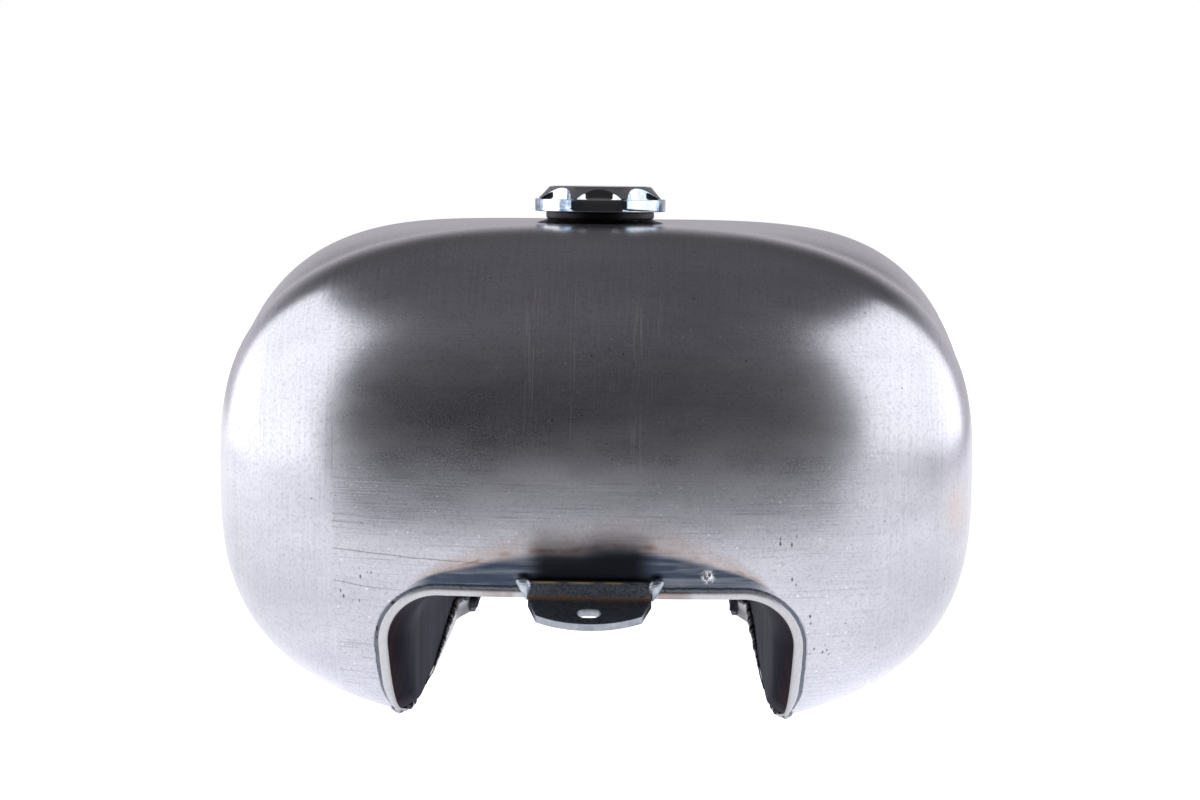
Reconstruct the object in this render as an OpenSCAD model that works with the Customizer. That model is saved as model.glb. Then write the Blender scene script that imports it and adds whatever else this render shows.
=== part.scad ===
// Steel motorcycle fuel tank: two pressed halves, a frame tunnel between its lobes, front and
// rear brackets, two fuel outlets, and a billet screw cap with a ball vent valve.
// The front faces -Y, the top is +Z, and the origin is on the base at the middle of the length.

/* [Body] */
// Width of the body at its widest
body_w = 309; // [295:1:325]
// Length of the pressed body without its brackets
body_l = 510; // [490:5:530]
// Height of the pressed body without the filler
body_h = 200; // [192:1:208]
// Height of the widest line above the base
waist_z = 99; // [94:1:104]
// Length of the rounded nose
nose_l = 86; // [78:1:94]
// Length of the rounded tail
tail_l = 34; // [28:1:40]
// Width of the body where the tail starts
tail_w = 204; // [198:1:212]
// Height of the top line where the tail starts
tail_h = 180; // [172:1:188]
// Share of the width that the knee recesses take
knee_depth = 0.13; // [0:0.01:0.15]
// Thickness of the pressed sheet
sheet_t = 1.2; // [1:0.1:1.4]

/* [Tunnel] */
// Clear width of the tunnel behind the front mouth
tunnel_w = 144; // [140:1:146]
// Clear width of the tunnel's rear half
tunnel_rear_w = 132; // [128:1:134]
// Clear width of the front mouth
mouth_w = 158; // [156:1:160]
// Clear height of the front mouth
mouth_h = 59.4; // [56:0.2:62]
// Clear height of the tunnel behind the mouth
tunnel_h = 57; // [54:1:58]
// Radius of the tunnel's upper corners
tunnel_r = 21; // [18:1:24]
// Width of the ground lip around each mouth
lip_w = 4.4; // [4:0.1:5]
// Place of the joint between the two tunnel sheets along the length
joint_y = 45; // [30:1:60]

/* [Brackets] */
// Width of a bracket at its bend
bracket_w = 47; // [44:1:50]
// Thickness of the bracket plate
bracket_t = 3.2; // [3:0.1:4]
// Length of the front tab along its slope
tab_l = 19; // [18:1:22]
// Slope of the front tab below level
tab_slope = 17; // [10:1:20]
// Length of the slot in the front tab
slot_l = 9; // [8.5:0.5:10]
// Width of the slot in the front tab
slot_w = 7; // [6.5:0.5:7]
// Diameter of the hole in the rear tab
rear_hole_d = 8.5; // [7:0.5:9]

/* [Filler and cap] */
// Place of the filler along the length
filler_y = -138; // [-140:1:-134]
// Inside diameter of the filler neck
neck_bore = 42; // [42:1:42]
// Diameter of the cap
cap_d = 55; // [54:1:57]
// Diameter of the cap's flat top
cap_top_d = 41.4; // [40:0.2:43]
// Height of the cap's straight edge
cap_edge_h = 5.1; // [4.5:0.1:6]
// Height of the scalloped part above the edge
cap_crown_h = 5.4; // [5:0.1:6]
// Number of finger scallops
scallops = 8; // [6:1:10]
// Rise of the screw thread in one turn
thread_pitch = 4; // [4:0.5:5]

/* [Outlets] */
// Distance of an outlet from the middle line
outlet_x = 91; // [90:1:93]
// Place of the outlets along the length
outlet_y = 10; // [0:1:30]
// Diameter of an outlet boss
outlet_d = 18; // [17:1:18]
// Core diameter of the outlet thread
outlet_core_d = 11.8; // [11.4:0.2:12.2]

/* [Hidden] */

nose_y = -body_l / 2;           // most forward point of the body
tail_y = body_l / 2;            // most rearward point of the body
front_y = nose_y + nose_l;      // where the nose ends
rear_y = tail_y - tail_l;       // where the tail starts
gap = 0.05;                     // space between neighbouring fixed pieces
turn_up = 3.1;                  // rise of the shell's lower edge beside the tunnel
foot = 8;                       // from the tunnel wall to the line the tank stands on
tip_z = 1.2;                    // height of a mouth's lower tips
tunnel_foot_z = 3.2;            // height of the tunnel sheet's lower edges
rear_mouth_h = 54;              // clear height of the rear mouth
rear_mouth_in = 1.4;            // how much narrower than its tunnel the rear mouth is, on each side
taper_l = 34;                   // length over which the tunnel narrows
weld_gap = 1;                   // width of the gap that a butt weld fills
arch_side = 6;                  // steps up the side of an arch
arch_corner = 8;                // steps round its corner
arch_n = 24;                    // steps from its foot to its crown
nose_rows = 9;                  // rows of shell points over the nose
body_rows = 12;                 // rows of shell points along the body
tail_rows = 6;                  // rows of shell points over the tail
edge_steps = 2.2;               // how closely the rows crowd towards a rim

// Powers of the curves that round the section and the two ends: 2 is an ellipse, more is squarer
body_power = 2.8;
upper_swell = 2.4;              // how much more the upper half has in the middle of the body
nose_power = 2.3;
tail_power = 2.4;

// Where things begin and how far they run, as shares of the length between nose and tail
side_rate = 1;                  // how soon the sides reach the tail's width
fall_start = 0.27;              // where the top line starts to fall
knee_start = 0.2;               // where the knee recesses start
knee_run = 0.34;                // over what length they deepen
knee_end = 0.86;                // where they start to fade
knee_end_depth = 0.6;           // share of their depth that is left at the tail
knee_low_z = 20;                // height where they start
knee_low_run = 45;              // height over which they deepen
knee_high_z = 108;              // height where they start to fade
knee_high_run = 44;             // height over which they fade

function mix(a, b, t) = a + (b - a) * t;
function ease(t) = let (c = min(1, max(0, t))) c * c * (3 - 2 * c);
function unit(v) = v / norm(v);
function along(y) = min(1, max(0, (y - front_y) / (rear_y - front_y)));

// Half width of the tunnel's inside, and the body's outline at a place along the length
function tunnel_half(y) = mix(tunnel_w, tunnel_rear_w, ease((y - joint_y + taper_l) / taper_l)) / 2;
function edge_x(y) = tunnel_half(y) + sheet_t + 0.3;
function foot_x(y) = tunnel_half(y) + foot;
function half_w(y) = mix(body_w, tail_w, ease(along(y) * side_rate)) / 2;
function up(y) = mix(body_h, tail_h, ease((along(y) - fall_start) / (1 - fall_start))) - waist_z;
function n_up(y) = body_power + upper_swell * sin(180 * along(y));
function drop_share(x, y) = pow(1 - pow(min(x, half_w(y)) / half_w(y), body_power), 1 / body_power);
function down(y) = waist_z / drop_share(foot_x(y), y);
function turned(x, y, z) = z > waist_z / 4 || x > foot_x(y) ? z
    : turn_up * pow((foot_x(y) - x) / (foot_x(y) - edge_x(y)), 2);
function knee(y, z) = knee_depth * ease((along(y) - knee_start) / knee_run)
    * mix(1, knee_end_depth, ease((along(y) - knee_end) / (1 - knee_end)))
    * ease((z - knee_low_z) / knee_low_run) * (1 - ease((z - knee_high_z) / knee_high_run));

// Point of the outline at a step round it, from the tunnel over the side to the top
function outline(i, y) =
    let (low = atan2(-down(y) * drop_share(edge_x(y), y), edge_x(y)),
         a = mix(low, 90, pow(i / arch_n, 1.3)),
         h = a > 0 ? up(y) : down(y),
         n = a > 0 ? n_up(y) : body_power,
         r = pow(pow(abs(cos(a)) / half_w(y), n) + pow(abs(sin(a)) / h, n), -1 / n))
    [max(weld_gap / 2 + gap, r * cos(a)), waist_z + r * sin(a)];

// How far a point of an end's face is from the middle of the body, 0 to 1
function reach(x, z, y) =
    let (h = z > waist_z ? up(y) : down(y), n = z > waist_z ? n_up(y) : body_power)
    min(1, pow(abs(x) / half_w(y), n) + pow(abs(z - waist_z) / h, n));
function nose_face(x, z) = front_y - nose_l * pow(1 - reach(x, z, front_y), 1 / nose_power);
function tail_face(x, z) = rear_y + tail_l * pow(1 - reach(x, z, rear_y), 1 / tail_power);
function face(front, x, z) = front ? nose_face(x, z) : tail_face(x, z);

// Point of an arch from its foot to its crown: half widths at foot and shoulder, height, radius
function arch(i, foot_half, half, high, r, low) =
    i <= arch_side ? [mix(foot_half, half, i / arch_side), mix(low, high - r, i / arch_side)]
    : i <= arch_side + arch_corner ?
        let (a = 90 * (i - arch_side) / arch_corner) [half - r + r * cos(a), high - r + r * sin(a)]
    : [(half - r) * (arch_n - i) / (arch_n - arch_side - arch_corner), high];

// Point of a mouth's edge, moved outwards over the face by an offset that fades at the tips
function mouth(front, i, offset) =
    let (o = offset * mix(0.35, 1, ease(i / 3)),
         half = front ? mouth_w / 2 : tunnel_rear_w / 2 - rear_mouth_in,
         p = arch(i, half - 1 + o, half + o, (front ? mouth_h : rear_mouth_h) + o, tunnel_r + o, tip_z))
    [max(weld_gap / 2 + gap, p[0]), p[1]];

// Point above the end face by a height, with the face's own slope
function over_face(front, p, high) =
    let (d = 0.05, y = face(front, p[0], p[1]), s = front ? -1 : 1,
         sx = (face(front, p[0] + d, p[1]) - face(front, p[0] - d, p[1])) / (2 * d),
         sz = (face(front, p[0], p[1] + d) - face(front, p[0], p[1] - d)) / (2 * d))
    [p[0], y, p[1]] + high * unit([-s * sx, s, -s * sz]);

// Points of the shell's outside for the half at +X
shell_offset = lip_w + weld_gap;
function end_point(front, i, u) =
    let (t = 1 - pow(1 - u, edge_steps), y = front ? front_y : rear_y, m = mouth(front, i, shell_offset),
         e = outline(i, y), x = mix(m[0], e[0], t), z = mix(m[1], e[1], t))
    [x * (1 - knee(y, z) * t), t == 1 ? y : face(front, x, z), mix(max(z, 0), turned(x, y, z), t)];
function body_point(i, y) =
    let (e = outline(i, y)) [e[0] * (1 - knee(y, e[1])), y, turned(e[0], y, e[1])];
function shell_point(j, i) =
    j < nose_rows ? end_point(true, i, j / nose_rows)
    : j <= nose_rows + body_rows ? body_point(i, mix(front_y, rear_y, (j - nose_rows) / body_rows))
    : end_point(false, i, (nose_rows + body_rows + tail_rows - j) / tail_rows);

shell_rows = nose_rows + body_rows + tail_rows;
shell_outside = [for (j = [0:shell_rows]) [for (i = [0:arch_n]) shell_point(j, i)]];

// The same grid moved inwards by a thickness
function inward(g, j, i) =
    let (rows = len(g) - 1, cols = len(g[0]) - 1,
         along_row = g[j][min(i + 1, cols)] - g[j][max(i - 1, 0)],
         across = g[min(j + 1, rows)][i] - g[max(j - 1, 0)][i])
    unit(cross(along_row, across));
function offset_grid(g, t) =
    [for (j = [0:len(g) - 1]) [for (i = [0:len(g[0]) - 1]) g[j][i] + t * inward(g, j, i)]];
function above_base(g) = [for (row = g) [for (p = row) [p[0], p[1], max(p[2], 0.3)]]];

// The same rows with their last points brought to one distance from the middle plane
function end_at(row, x) =
    [for (i = [0:len(row) - 1]) i < len(row) - 1 ? row[i] : [x, row[i][1], row[i][2]]];
function flat_middle(g) = [for (row = g) end_at(row, weld_gap / 2 + gap)];

// Closed sheet between two grids of the same size
module sheet(outside, inside) {
    rows = len(outside);
    cols = len(outside[0]);
    n = rows * cols;
    points = concat([for (row = outside) for (p = row) p], [for (row = inside) for (p = row) p]);
    cells = [for (j = [0:rows - 2]) for (i = [0:cols - 2]) j * cols + i];
    quads = concat(
        [for (a = cells) [a, a + 1, a + cols + 1, a + cols]],
        [for (a = cells) [a + n + cols, a + n + cols + 1, a + n + 1, a + n]],
        [for (j = [0:rows - 2]) let (a = j * cols) [a + cols, a + n + cols, a + n, a]],
        [for (j = [0:rows - 2]) let (a = j * cols + cols - 1) [a, a + n, a + n + cols, a + cols]],
        [for (i = [0:cols - 2]) [i, i + n, i + n + 1, i + 1]],
        [for (i = [0:cols - 2]) let (a = (rows - 1) * cols + i) [a + 1, a + n + 1, a + n, a]]);
    polyhedron(points, [for (q = quads) each [[q[0], q[1], q[2]], [q[0], q[2], q[3]]]]);
}

// Closed bar through a row of rings that all have the same number of points
module bar(rings) {
    sides = len(rings[0]);
    last = (len(rings) - 1) * sides;
    points = [for (r = rings) for (p = r) p];
    quads = [for (k = [0:len(rings) - 2]) for (s = [0:sides - 1])
        let (a = k * sides, b = (s + 1) % sides) [a + s, a + b, a + sides + b, a + sides + s]];
    polyhedron(points, concat(
        [for (q = quads) each [[q[0], q[1], q[2]], [q[0], q[2], q[3]]]],
        [for (s = [1:sides - 2]) [0, s + 1, s]],
        [for (s = [1:sides - 2]) [last, last + s, last + s + 1]]));
}

// Whole arch from the foot at -X over the crown to the foot at +X
function flipped(p) = [-p[0], p[1], p[2]];
function whole(points) =
    let (half = end_at(points, 0), n = len(points))
    concat([for (p = half) flipped(p)], [for (k = [n - 2:-1:0]) half[k]]);

top_z = body_h;
neck_top = top_z + 1.85;                        // top of the filler neck's rim
gasket_t = 3;
flange_z = neck_top + gasket_t + 2 * gap;       // underside of the cap
neck_r = neck_bore / 2;
hole_r = neck_r + 2.8;                          // hole in the body for the neck

module filler_hole() {
    translate([0, filler_y, top_z - 12]) cylinder(h = 24, r = hole_r, $fn = 64);
}

module outlet_hole(x) {
    translate([x, outlet_y, -5]) cylinder(h = 36, d = outlet_d + 0.6, $fn = 48);
}

module shell_half() {
    difference() {
        sheet(flat_middle(shell_outside), flat_middle(above_base(offset_grid(shell_outside, sheet_t))));
        filler_hole();
        outlet_hole(outlet_x);
    }
}

module shell_right() {
    color("silver") shell_half();
}

module shell_left() {
    color("silver") mirror([1, 0, 0]) shell_half();
}

// Middle line of the outside: up the nose, along the top and down the tail
function middle_z(y) = waist_z + up(y);
function end_line(front, t) =
    let (y = front ? front_y : rear_y, low = (front ? mouth_h : rear_mouth_h) + shell_offset,
         z = mix(low, middle_z(y), 1 - pow(1 - t, edge_steps)))
    [t == 1 ? y : face(front, 0, z), z];
nose_steps = 11;
top_steps = 10;
tail_steps = 8;
nose_path = concat([for (k = [0:nose_steps]) end_line(true, k / nose_steps)],
    [[filler_y - hole_r - 1, top_z]]);
tail_path = concat(
    [for (k = [0:top_steps]) let (y = mix(filler_y + hole_r + 1, rear_y, k / top_steps)) [y, middle_z(y)]],
    [for (k = [tail_steps - 1:-1:0]) end_line(false, k / tail_steps)]);

// Strip that fills the gap along a middle line, a little proud of the sheet
proud = 0.15;
function strip_ring(path, k) =
    let (d = path[min(k + 1, len(path) - 1)] - path[max(k - 1, 0)], out = unit([-d[1], d[0]]),
         lo = path[k] - sheet_t * out, hi = path[k] + proud * out, half = weld_gap / 2)
    [[-half, lo[0], lo[1]], [half, lo[0], lo[1]], [half, hi[0], hi[1]], [-half, hi[0], hi[1]]];

module centre_weld() {
    color("gainsboro") {
        bar([for (k = [0:len(nose_path) - 1]) strip_ring(nose_path, k)]);
        bar([for (k = [0:len(tail_path) - 1]) strip_ring(tail_path, k)]);
    }
}

// Rows of the front tunnel: over the ground lip, through the flare, then straight to the joint.
// A lip row is its distance over the face and its height above it; a flare row is how far along
// the flare it is, and the share of the change of section that is done there.
rim = [0, -0.8];
lip_rows = [[lip_w, 0.3], [lip_w / 2, 0.8], [0.5, 0.5], rim];
flare_rows = [[0.22, 0.5], [0.56, 0.85], [1, 1]];
run_rows = [for (k = [1:5]) k / 5];
flare_end = nose_y + 66;        // where the flare ends in the middle
flare_least = 24;               // the shortest it is, at the tips
function tunnel_arch(i, y, inset) =
    let (h = tunnel_half(y) - inset) arch(i, h, h, tunnel_h - inset, tunnel_r - inset, tunnel_foot_z);
function lip_point(front, row, i) = over_face(front, mouth(front, i, row[0]), row[1]);
function flare_stop(i) = max(flare_end, lip_point(true, rim, i)[1] + flare_least);
function flare_point(row, i) =
    let (m = lip_point(true, rim, i), p = mix([m[0], m[2]], tunnel_arch(i, nose_y, 0), row[1]))
    [p[0], mix(m[1], flare_stop(i), row[0]), p[1]];
function run_point(t, i) =
    let (y = mix(flare_stop(i), joint_y, t), p = tunnel_arch(i, y, 0)) [p[0], y, p[1]];
front_tunnel = concat(
    [for (row = lip_rows) whole([for (i = [0:arch_n]) lip_point(true, row, i)])],
    [for (row = flare_rows) whole([for (i = [0:arch_n]) flare_point(row, i)])],
    [for (t = run_rows) whole([for (i = [0:arch_n]) run_point(t, i)])]);

module tunnel_front() {
    color("dimgray") sheet(front_tunnel, offset_grid(front_tunnel, sheet_t));
}

// Rows of the rear tunnel: lapped inside the front one, straight, then over its own lip
lap = 8;                        // length of the lap
rear_inset = sheet_t + 0.2;     // from the front sheet's inside to the rear sheet's inside
rear_turn = 0.6;                // share of its length where it starts to take the mouth's shape
rear_rows = 8;
function rear_run_point(t, i) =
    let (stop = lip_point(false, rim, i)[1] - 6, y = mix(joint_y - lap, stop, t),
         h = tunnel_rear_w / 2 - rear_inset, low = mix(tunnel_foot_z, tip_z + 0.6, ease(t)),
         s = arch(i, h, h, tunnel_h - rear_inset, tunnel_r - rear_inset, tunnel_foot_z),
         m = mouth(false, i, 0), p = mix(s, [m[0], max(m[1], low)], ease((t - rear_turn) / (1 - rear_turn))))
    [p[0], y, p[1]];
rear_tunnel = concat(
    [for (k = [0:rear_rows]) whole([for (i = [0:arch_n]) rear_run_point(k / rear_rows, i)])],
    [for (k = [len(lip_rows) - 1:-1:0]) whole([for (i = [0:arch_n]) lip_point(false, lip_rows[k], i)])]);

module tunnel_rear() {
    color("dimgray") sheet(rear_tunnel, offset_grid(rear_tunnel, sheet_t));
}

// Bead that fills the gap between a lip and the shell, from just above one foot to the other
function mouth_ring(front, i) =
    let (a = lip_w + gap, b = shell_offset - 0.15, low = shell_offset - 0.4)
    [over_face(front, mouth(front, i, a), -0.9), over_face(front, mouth(front, i, low), -0.9),
     over_face(front, mouth(front, i, b), 0.4), over_face(front, mouth(front, i, a), 0.4)];
function mouth_rings(front) =
    let (half = [for (i = [0:arch_n]) mouth_ring(front, i)], crown = [for (p = half[arch_n]) [0, p[1], p[2]]])
    concat([for (i = [1:arch_n - 1]) [for (p = half[i]) flipped(p)]], [crown],
        [for (i = [arch_n - 1:-1:1]) half[i]]);

module front_mouth_weld() {
    color("slategray") bar([for (r = mouth_rings(true)) [r[3], r[2], r[1], r[0]]]);
}

module rear_mouth_weld() {
    color("slategray") bar(mouth_rings(false));
}

// Bead under the corner where a tunnel wall meets the shell's lower edge
seam_ring = [[-0.8, -1.8], [0.6, -2.3], [1.8, -2.1], [-0.15, -0.45], [-1.25, -0.45]];
function seam_at(y) = [for (p = seam_ring) [edge_x(y) + p[0], y, tunnel_foot_z + p[1]]];
module seam_weld(side) {
    first = front_y + 4;
    last = rear_y - 6;
    middle = [for (k = [1:body_rows - 1]) mix(front_y, rear_y, k / body_rows)];
    rings = [for (y = concat([first], middle, [last])) seam_at(y)];
    mirror([side < 0 ? 1 : 0, 0, 0]) bar(rings);
}

module seam_weld_right() {
    color("slategray") seam_weld(1);
}

module seam_weld_left() {
    color("slategray") seam_weld(-1);
}

// Fillet weld inside the tunnel, round the edge where the rear sheet starts inside the front one
module tunnel_joint_weld() {
    y0 = joint_y - lap - 1.4;
    y1 = joint_y - lap - 0.1;
    function at(i, y, inset) = let (p = tunnel_arch(i, y, inset)) [p[0], y, p[1]];
    function ring(i) = [at(i, y1, 1.3), at(i, y0 + 0.4, 0.8), at(i, y0, 0.1), at(i, y1, 0.1)];
    half = [for (i = [0:arch_n]) ring(i)];
    color("dimgray") bar(concat([for (i = [0:arch_n]) [for (p = half[i]) flipped(p)]],
        [for (i = [arch_n - 1:-1:0]) half[i]]));
}

// Front bracket: an upright plate over the mouth, a bend, and a sloping tab with a slot
front_plate_y = nose_y + 0.8;           // back of the upright plate
upright_low = mouth_h + 1.3;            // where the bend starts
upright_h = 6;
bend_r = 1;                             // inside radius of the bend
corner_v = 0.66;                        // where the tab's straight sides end, as a share of its length
tab_front_w = 40;
module tab_outline(long, wide, end_w) {
    side = long * corner_v;
    bulge = long - side;
    r = (pow(end_w / 2, 2) + pow(bulge, 2)) / (2 * bulge);
    polygon([[-wide / 2, 0], [wide / 2, 0], [end_w / 2, side], [-end_w / 2, side]]);
    intersection() {
        translate([0, long - r]) circle(r = r, $fn = 96);
        translate([-end_w / 2, side - 0.01]) square([end_w, bulge + 1]);
    }
}

module slot_hole() {
    run = slot_l - slot_w;
    for (s = [-1, 1]) translate([s * run / 2, 0, -1]) cylinder(h = bracket_t + 2, d = slot_w, $fn = 32);
    translate([-run / 2, -slot_w / 2, -1]) cube([run, slot_w, bracket_t + 2]);
}

// Bend in the YZ plane from upright to a tab, turning through an angle
module bend(angle) {
    rotate([0, -90, 0]) rotate_extrude(angle = angle, $fn = 48)
        translate([bend_r, -bracket_w / 2]) square([bracket_t, bracket_w]);
}

bend_axis_y = front_plate_y - bracket_t - bend_r;
slot_v = 10.4;                          // from the bend to the slot's middle
module front_tab() {
    rotate([-180 + tab_slope, 0, 0]) translate([0, 0, bend_r]) difference() {
        linear_extrude(height = bracket_t) tab_outline(tab_l, bracket_w, tab_front_w);
        translate([0, slot_v, 0]) slot_hole();
    }
}

module front_bracket() {
    color("dimgray") {
        translate([-bracket_w / 2, front_plate_y - bracket_t, upright_low])
            cube([bracket_w, bracket_t, upright_h]);
        translate([0, bend_axis_y, upright_low]) {
            rotate([tab_slope, 0, 0]) rotate([180, 0, 0]) rotate([0, 0, 180]) bend(90 - tab_slope);
            front_tab();
        }
    }
}

// Short round beads that hold a bracket's two ends
bead_r = 2.5;
bead_clear = 0.3;                       // from a bead to the plane of its plate's back
module bracket_beads(y) {
    for (s = [-1, 1]) translate([s * (bracket_w / 2 + bead_r + gap), y, upright_low + bead_r / 2]) {
        cylinder(h = upright_h - bead_r, r = bead_r, $fn = 32);
        sphere(r = bead_r, $fn = 32);
        translate([0, 0, upright_h - bead_r]) sphere(r = bead_r, $fn = 32);
    }
}

module front_bracket_welds() {
    color("lightsteelblue") bracket_beads(front_plate_y - bead_r - bead_clear);
}

// Rear bracket: the same plate with a level tab and a round hole
rear_plate_y = tail_y + 0.9;            // back of its upright plate
front_reach = -(bend_axis_y + bend_r * sin(tab_slope) - tab_l * cos(tab_slope));
rear_axis_y = rear_plate_y + bracket_t + bend_r;
rear_tab_l = front_reach - rear_axis_y;
rear_upright_low = rear_mouth_h + 3.4;
rear_hole_y = rear_axis_y + rear_tab_l * 0.5;
module rear_bracket() {
    color("dimgray") {
        translate([-bracket_w / 2, rear_plate_y, rear_upright_low]) cube([bracket_w, bracket_t, upright_h]);
        translate([0, rear_axis_y, rear_upright_low]) rotate([180, 0, 0]) bend(90);
        translate([0, rear_axis_y, rear_upright_low - bend_r - bracket_t]) difference() {
            linear_extrude(height = bracket_t) tab_outline(rear_tab_l, bracket_w, tab_front_w);
            translate([0, rear_hole_y - rear_axis_y, -1])
                cylinder(h = bracket_t + 2, d = rear_hole_d, $fn = 48);
        }
    }
}

module rear_bracket_welds() {
    translate([0, 0, rear_upright_low - upright_low])
        color("lightsteelblue") bracket_beads(rear_plate_y + bead_r + bead_clear);
}

// Helical ridge on a bore or a plug, with its root sunk into the wall
ridge_turns = 1.25;
root_w = 1.6;                           // width of the ridge where it leaves the wall
crest_w = 0.8;                          // width of its crest
module thread_ridge(root_r, crest_r, start_z) {
    steps = 30;
    function ring(k) =
        let (a = 360 * ridge_turns * k / steps, z = start_z + thread_pitch * a / 360, c = cos(a), s = sin(a))
        [[root_r * c, root_r * s, z - root_w / 2], [crest_r * c, crest_r * s, z - crest_w / 2],
         [crest_r * c, crest_r * s, z + crest_w / 2], [root_r * c, root_r * s, z + root_w / 2]];
    rings = [for (k = [0:steps]) ring(k)];
    bar(crest_r > root_r ? rings : [for (r = rings) [r[3], r[2], r[1], r[0]]]);
}

neck_low = top_z - 14;                  // lower end of the neck
ridge_z = top_z - 9;                    // where its thread starts
rim_t = 1.6;                            // thickness of its rim above the body
shoulder_z = top_z - 0.6;
module filler_neck() {
    color("dimgray") translate([0, filler_y, 0]) {
        rotate_extrude($fn = 96) polygon([[neck_r, neck_low], [hole_r - 0.3, neck_low],
            [hole_r - 0.3, shoulder_z], [neck_r + rim_t, shoulder_z], [neck_r + rim_t, neck_top - 0.4],
            [neck_r + rim_t - 0.4, neck_top], [neck_r, neck_top]]);
        thread_ridge(neck_r + 0.15, neck_r - 1.1, ridge_z);
    }
}

module filler_weld() {
    r = neck_r + rim_t + gap;
    color("slategray") translate([0, filler_y, top_z + 0.1]) rotate_extrude($fn = 96)
        polygon([[r, 0], [r + 3, 0], [r + 2.1, 0.35], [r + 0.9, 0.8], [r, 1.3]]);
}

// The cap: a scalloped billet crown with a hollow threaded plug and a chamber for the vent ball
plug_r = neck_r - 1.5;
plug_low = top_z - 12;                  // lower end of the plug
plug_wall = 4;
cap_top = flange_z + cap_edge_h + cap_crown_h;
scallop_r = 13;                         // radius of the cutter that makes a scallop
scallop_depth = 5.5;                    // how far it reaches in from the cap's edge
chamber_r = 3;                          // radius of the ball's chamber
chamber_wall = 3;
seat_z = top_z + 3;                     // where the ball's cone starts
vent_r = 0.8;                           // radius of the hole above the ball
ball_r = 2.5;
cone_h = 2.2;
edge_top = flange_z + cap_edge_h;
module cap_blank() {
    post_r = chamber_r + chamber_wall;
    rotate_extrude($fn = 128) polygon([[0, plug_low], [post_r, plug_low], [post_r, top_z],
        [plug_r - plug_wall, top_z], [plug_r - plug_wall, plug_low], [plug_r, plug_low], [plug_r, flange_z],
        [cap_d / 2 - 0.4, flange_z], [cap_d / 2, flange_z + 0.4], [cap_d / 2, edge_top],
        [cap_top_d / 2 + 0.3, cap_top], [0, cap_top]]);
}

module cap_body() {
    color("lightgray") translate([0, filler_y, 0]) {
        difference() {
            cap_blank();
            for (k = [0:scallops - 1]) rotate([0, 0, 360 * k / scallops - 90])
                translate([cap_d / 2 - scallop_depth + scallop_r, 0, edge_top])
                    cylinder(h = cap_crown_h + 1, r = scallop_r, $fn = 64);
            translate([0, 0, plug_low - 1]) cylinder(h = seat_z - plug_low + 1, r = chamber_r, $fn = 48);
            translate([0, 0, seat_z - 0.01]) cylinder(h = cone_h, r1 = chamber_r, r2 = vent_r, $fn = 48);
            translate([0, 0, seat_z]) cylinder(h = cap_top - seat_z + 1, r = vent_r, $fn = 24);
        }
        thread_ridge(plug_r - 0.15, plug_r + 1.2, ridge_z - thread_pitch / 2);
    }
}

module cap_gasket() {
    inner = plug_r + 0.4;
    outer = neck_r + 1.8;
    color("black") translate([0, filler_y, neck_top + gap]) rotate_extrude($fn = 96)
        polygon([[inner, 0], [outer - 0.3, 0], [outer, 0.5], [outer, gasket_t - 0.5],
            [outer - 0.3, gasket_t], [inner, gasket_t]]);
}

// Vent valve: a ball pressed up into a cone by a spring, held by a drilled plug
retainer_h = 2.6;
retainer_z = plug_low + 0.5;
retainer_hole_r = 1.2;
spring_low = retainer_z + retainer_h + 0.1;
ball_z = seat_z - 0.57;                 // centre of the seated ball
spring_r = 1.9;
wire_r = 0.25;
spring_h = ball_z - ball_r * 0.72 - spring_low;
module vent_retainer() {
    color("silver") translate([0, filler_y, retainer_z]) difference() {
        cylinder(h = retainer_h, r = chamber_r - 0.02, $fn = 48);
        translate([0, 0, -1]) cylinder(h = retainer_h + 2, r = retainer_hole_r, $fn = 24);
    }
}

module vent_spring() {
    turns = 6;
    steps = 14 * turns;
    sides = 6;
    function centre(k) = let (a = 360 * turns * k / steps)
        [spring_r * cos(a), spring_r * sin(a), spring_low + wire_r + (spring_h - 2 * wire_r) * k / steps];
    function ring(k) = let (c = centre(k), a = 360 * turns * k / steps, out = [cos(a), sin(a), 0])
        [for (s = [0:sides - 1]) c + wire_r * (cos(360 * s / sides) * out + sin(360 * s / sides) * [0, 0, 1])];
    color("silver") translate([0, filler_y, 0]) bar([for (k = [0:steps]) ring(k)]);
}

module vent_ball() {
    color("silver") translate([0, filler_y, ball_z]) sphere(r = ball_r, $fn = 48);
}

// Threaded outlet bosses through the lobes' undersides, each with a weld round it
outlet_low = 1;                         // lower end of a boss
outlet_h = 24;
module outlet_boss(x) {
    color("darkgray") translate([x, outlet_y, outlet_low]) difference() {
        cylinder(h = outlet_h, d = outlet_d, $fn = 64);
        translate([0, 0, -1]) cylinder(h = outlet_h + 2, d = outlet_core_d, $fn = 48);
    }
}

boss_weld_w = 2.2;
boss_weld_least = 0.45;                 // share of that width beside the tunnel, where room is short
function under_z(x, y) = turned(x, y, waist_z - down(y) * drop_share(x, y));
function boss_ring(a) =
    let (r0 = outlet_d / 2 + 0.15, r1 = r0 + boss_weld_w * mix(boss_weld_least, 1, (1 + cos(a)) / 2),
         x0 = outlet_x + r0 * cos(a), y0 = outlet_y + r0 * sin(a),
         x1 = outlet_x + r1 * cos(a), y1 = outlet_y + r1 * sin(a),
         z0 = under_z(x0, y0) - 0.2, z1 = under_z(x1, y1) - 0.2)
    [[x0, y0, max(z0 - 1.6, 0.05)], [x1, y1, max(z1 - 0.4, 0.05)], [x1, y1, max(z1, 0.15)],
     [x0, y0, max(z0, 0.3)]];

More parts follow.
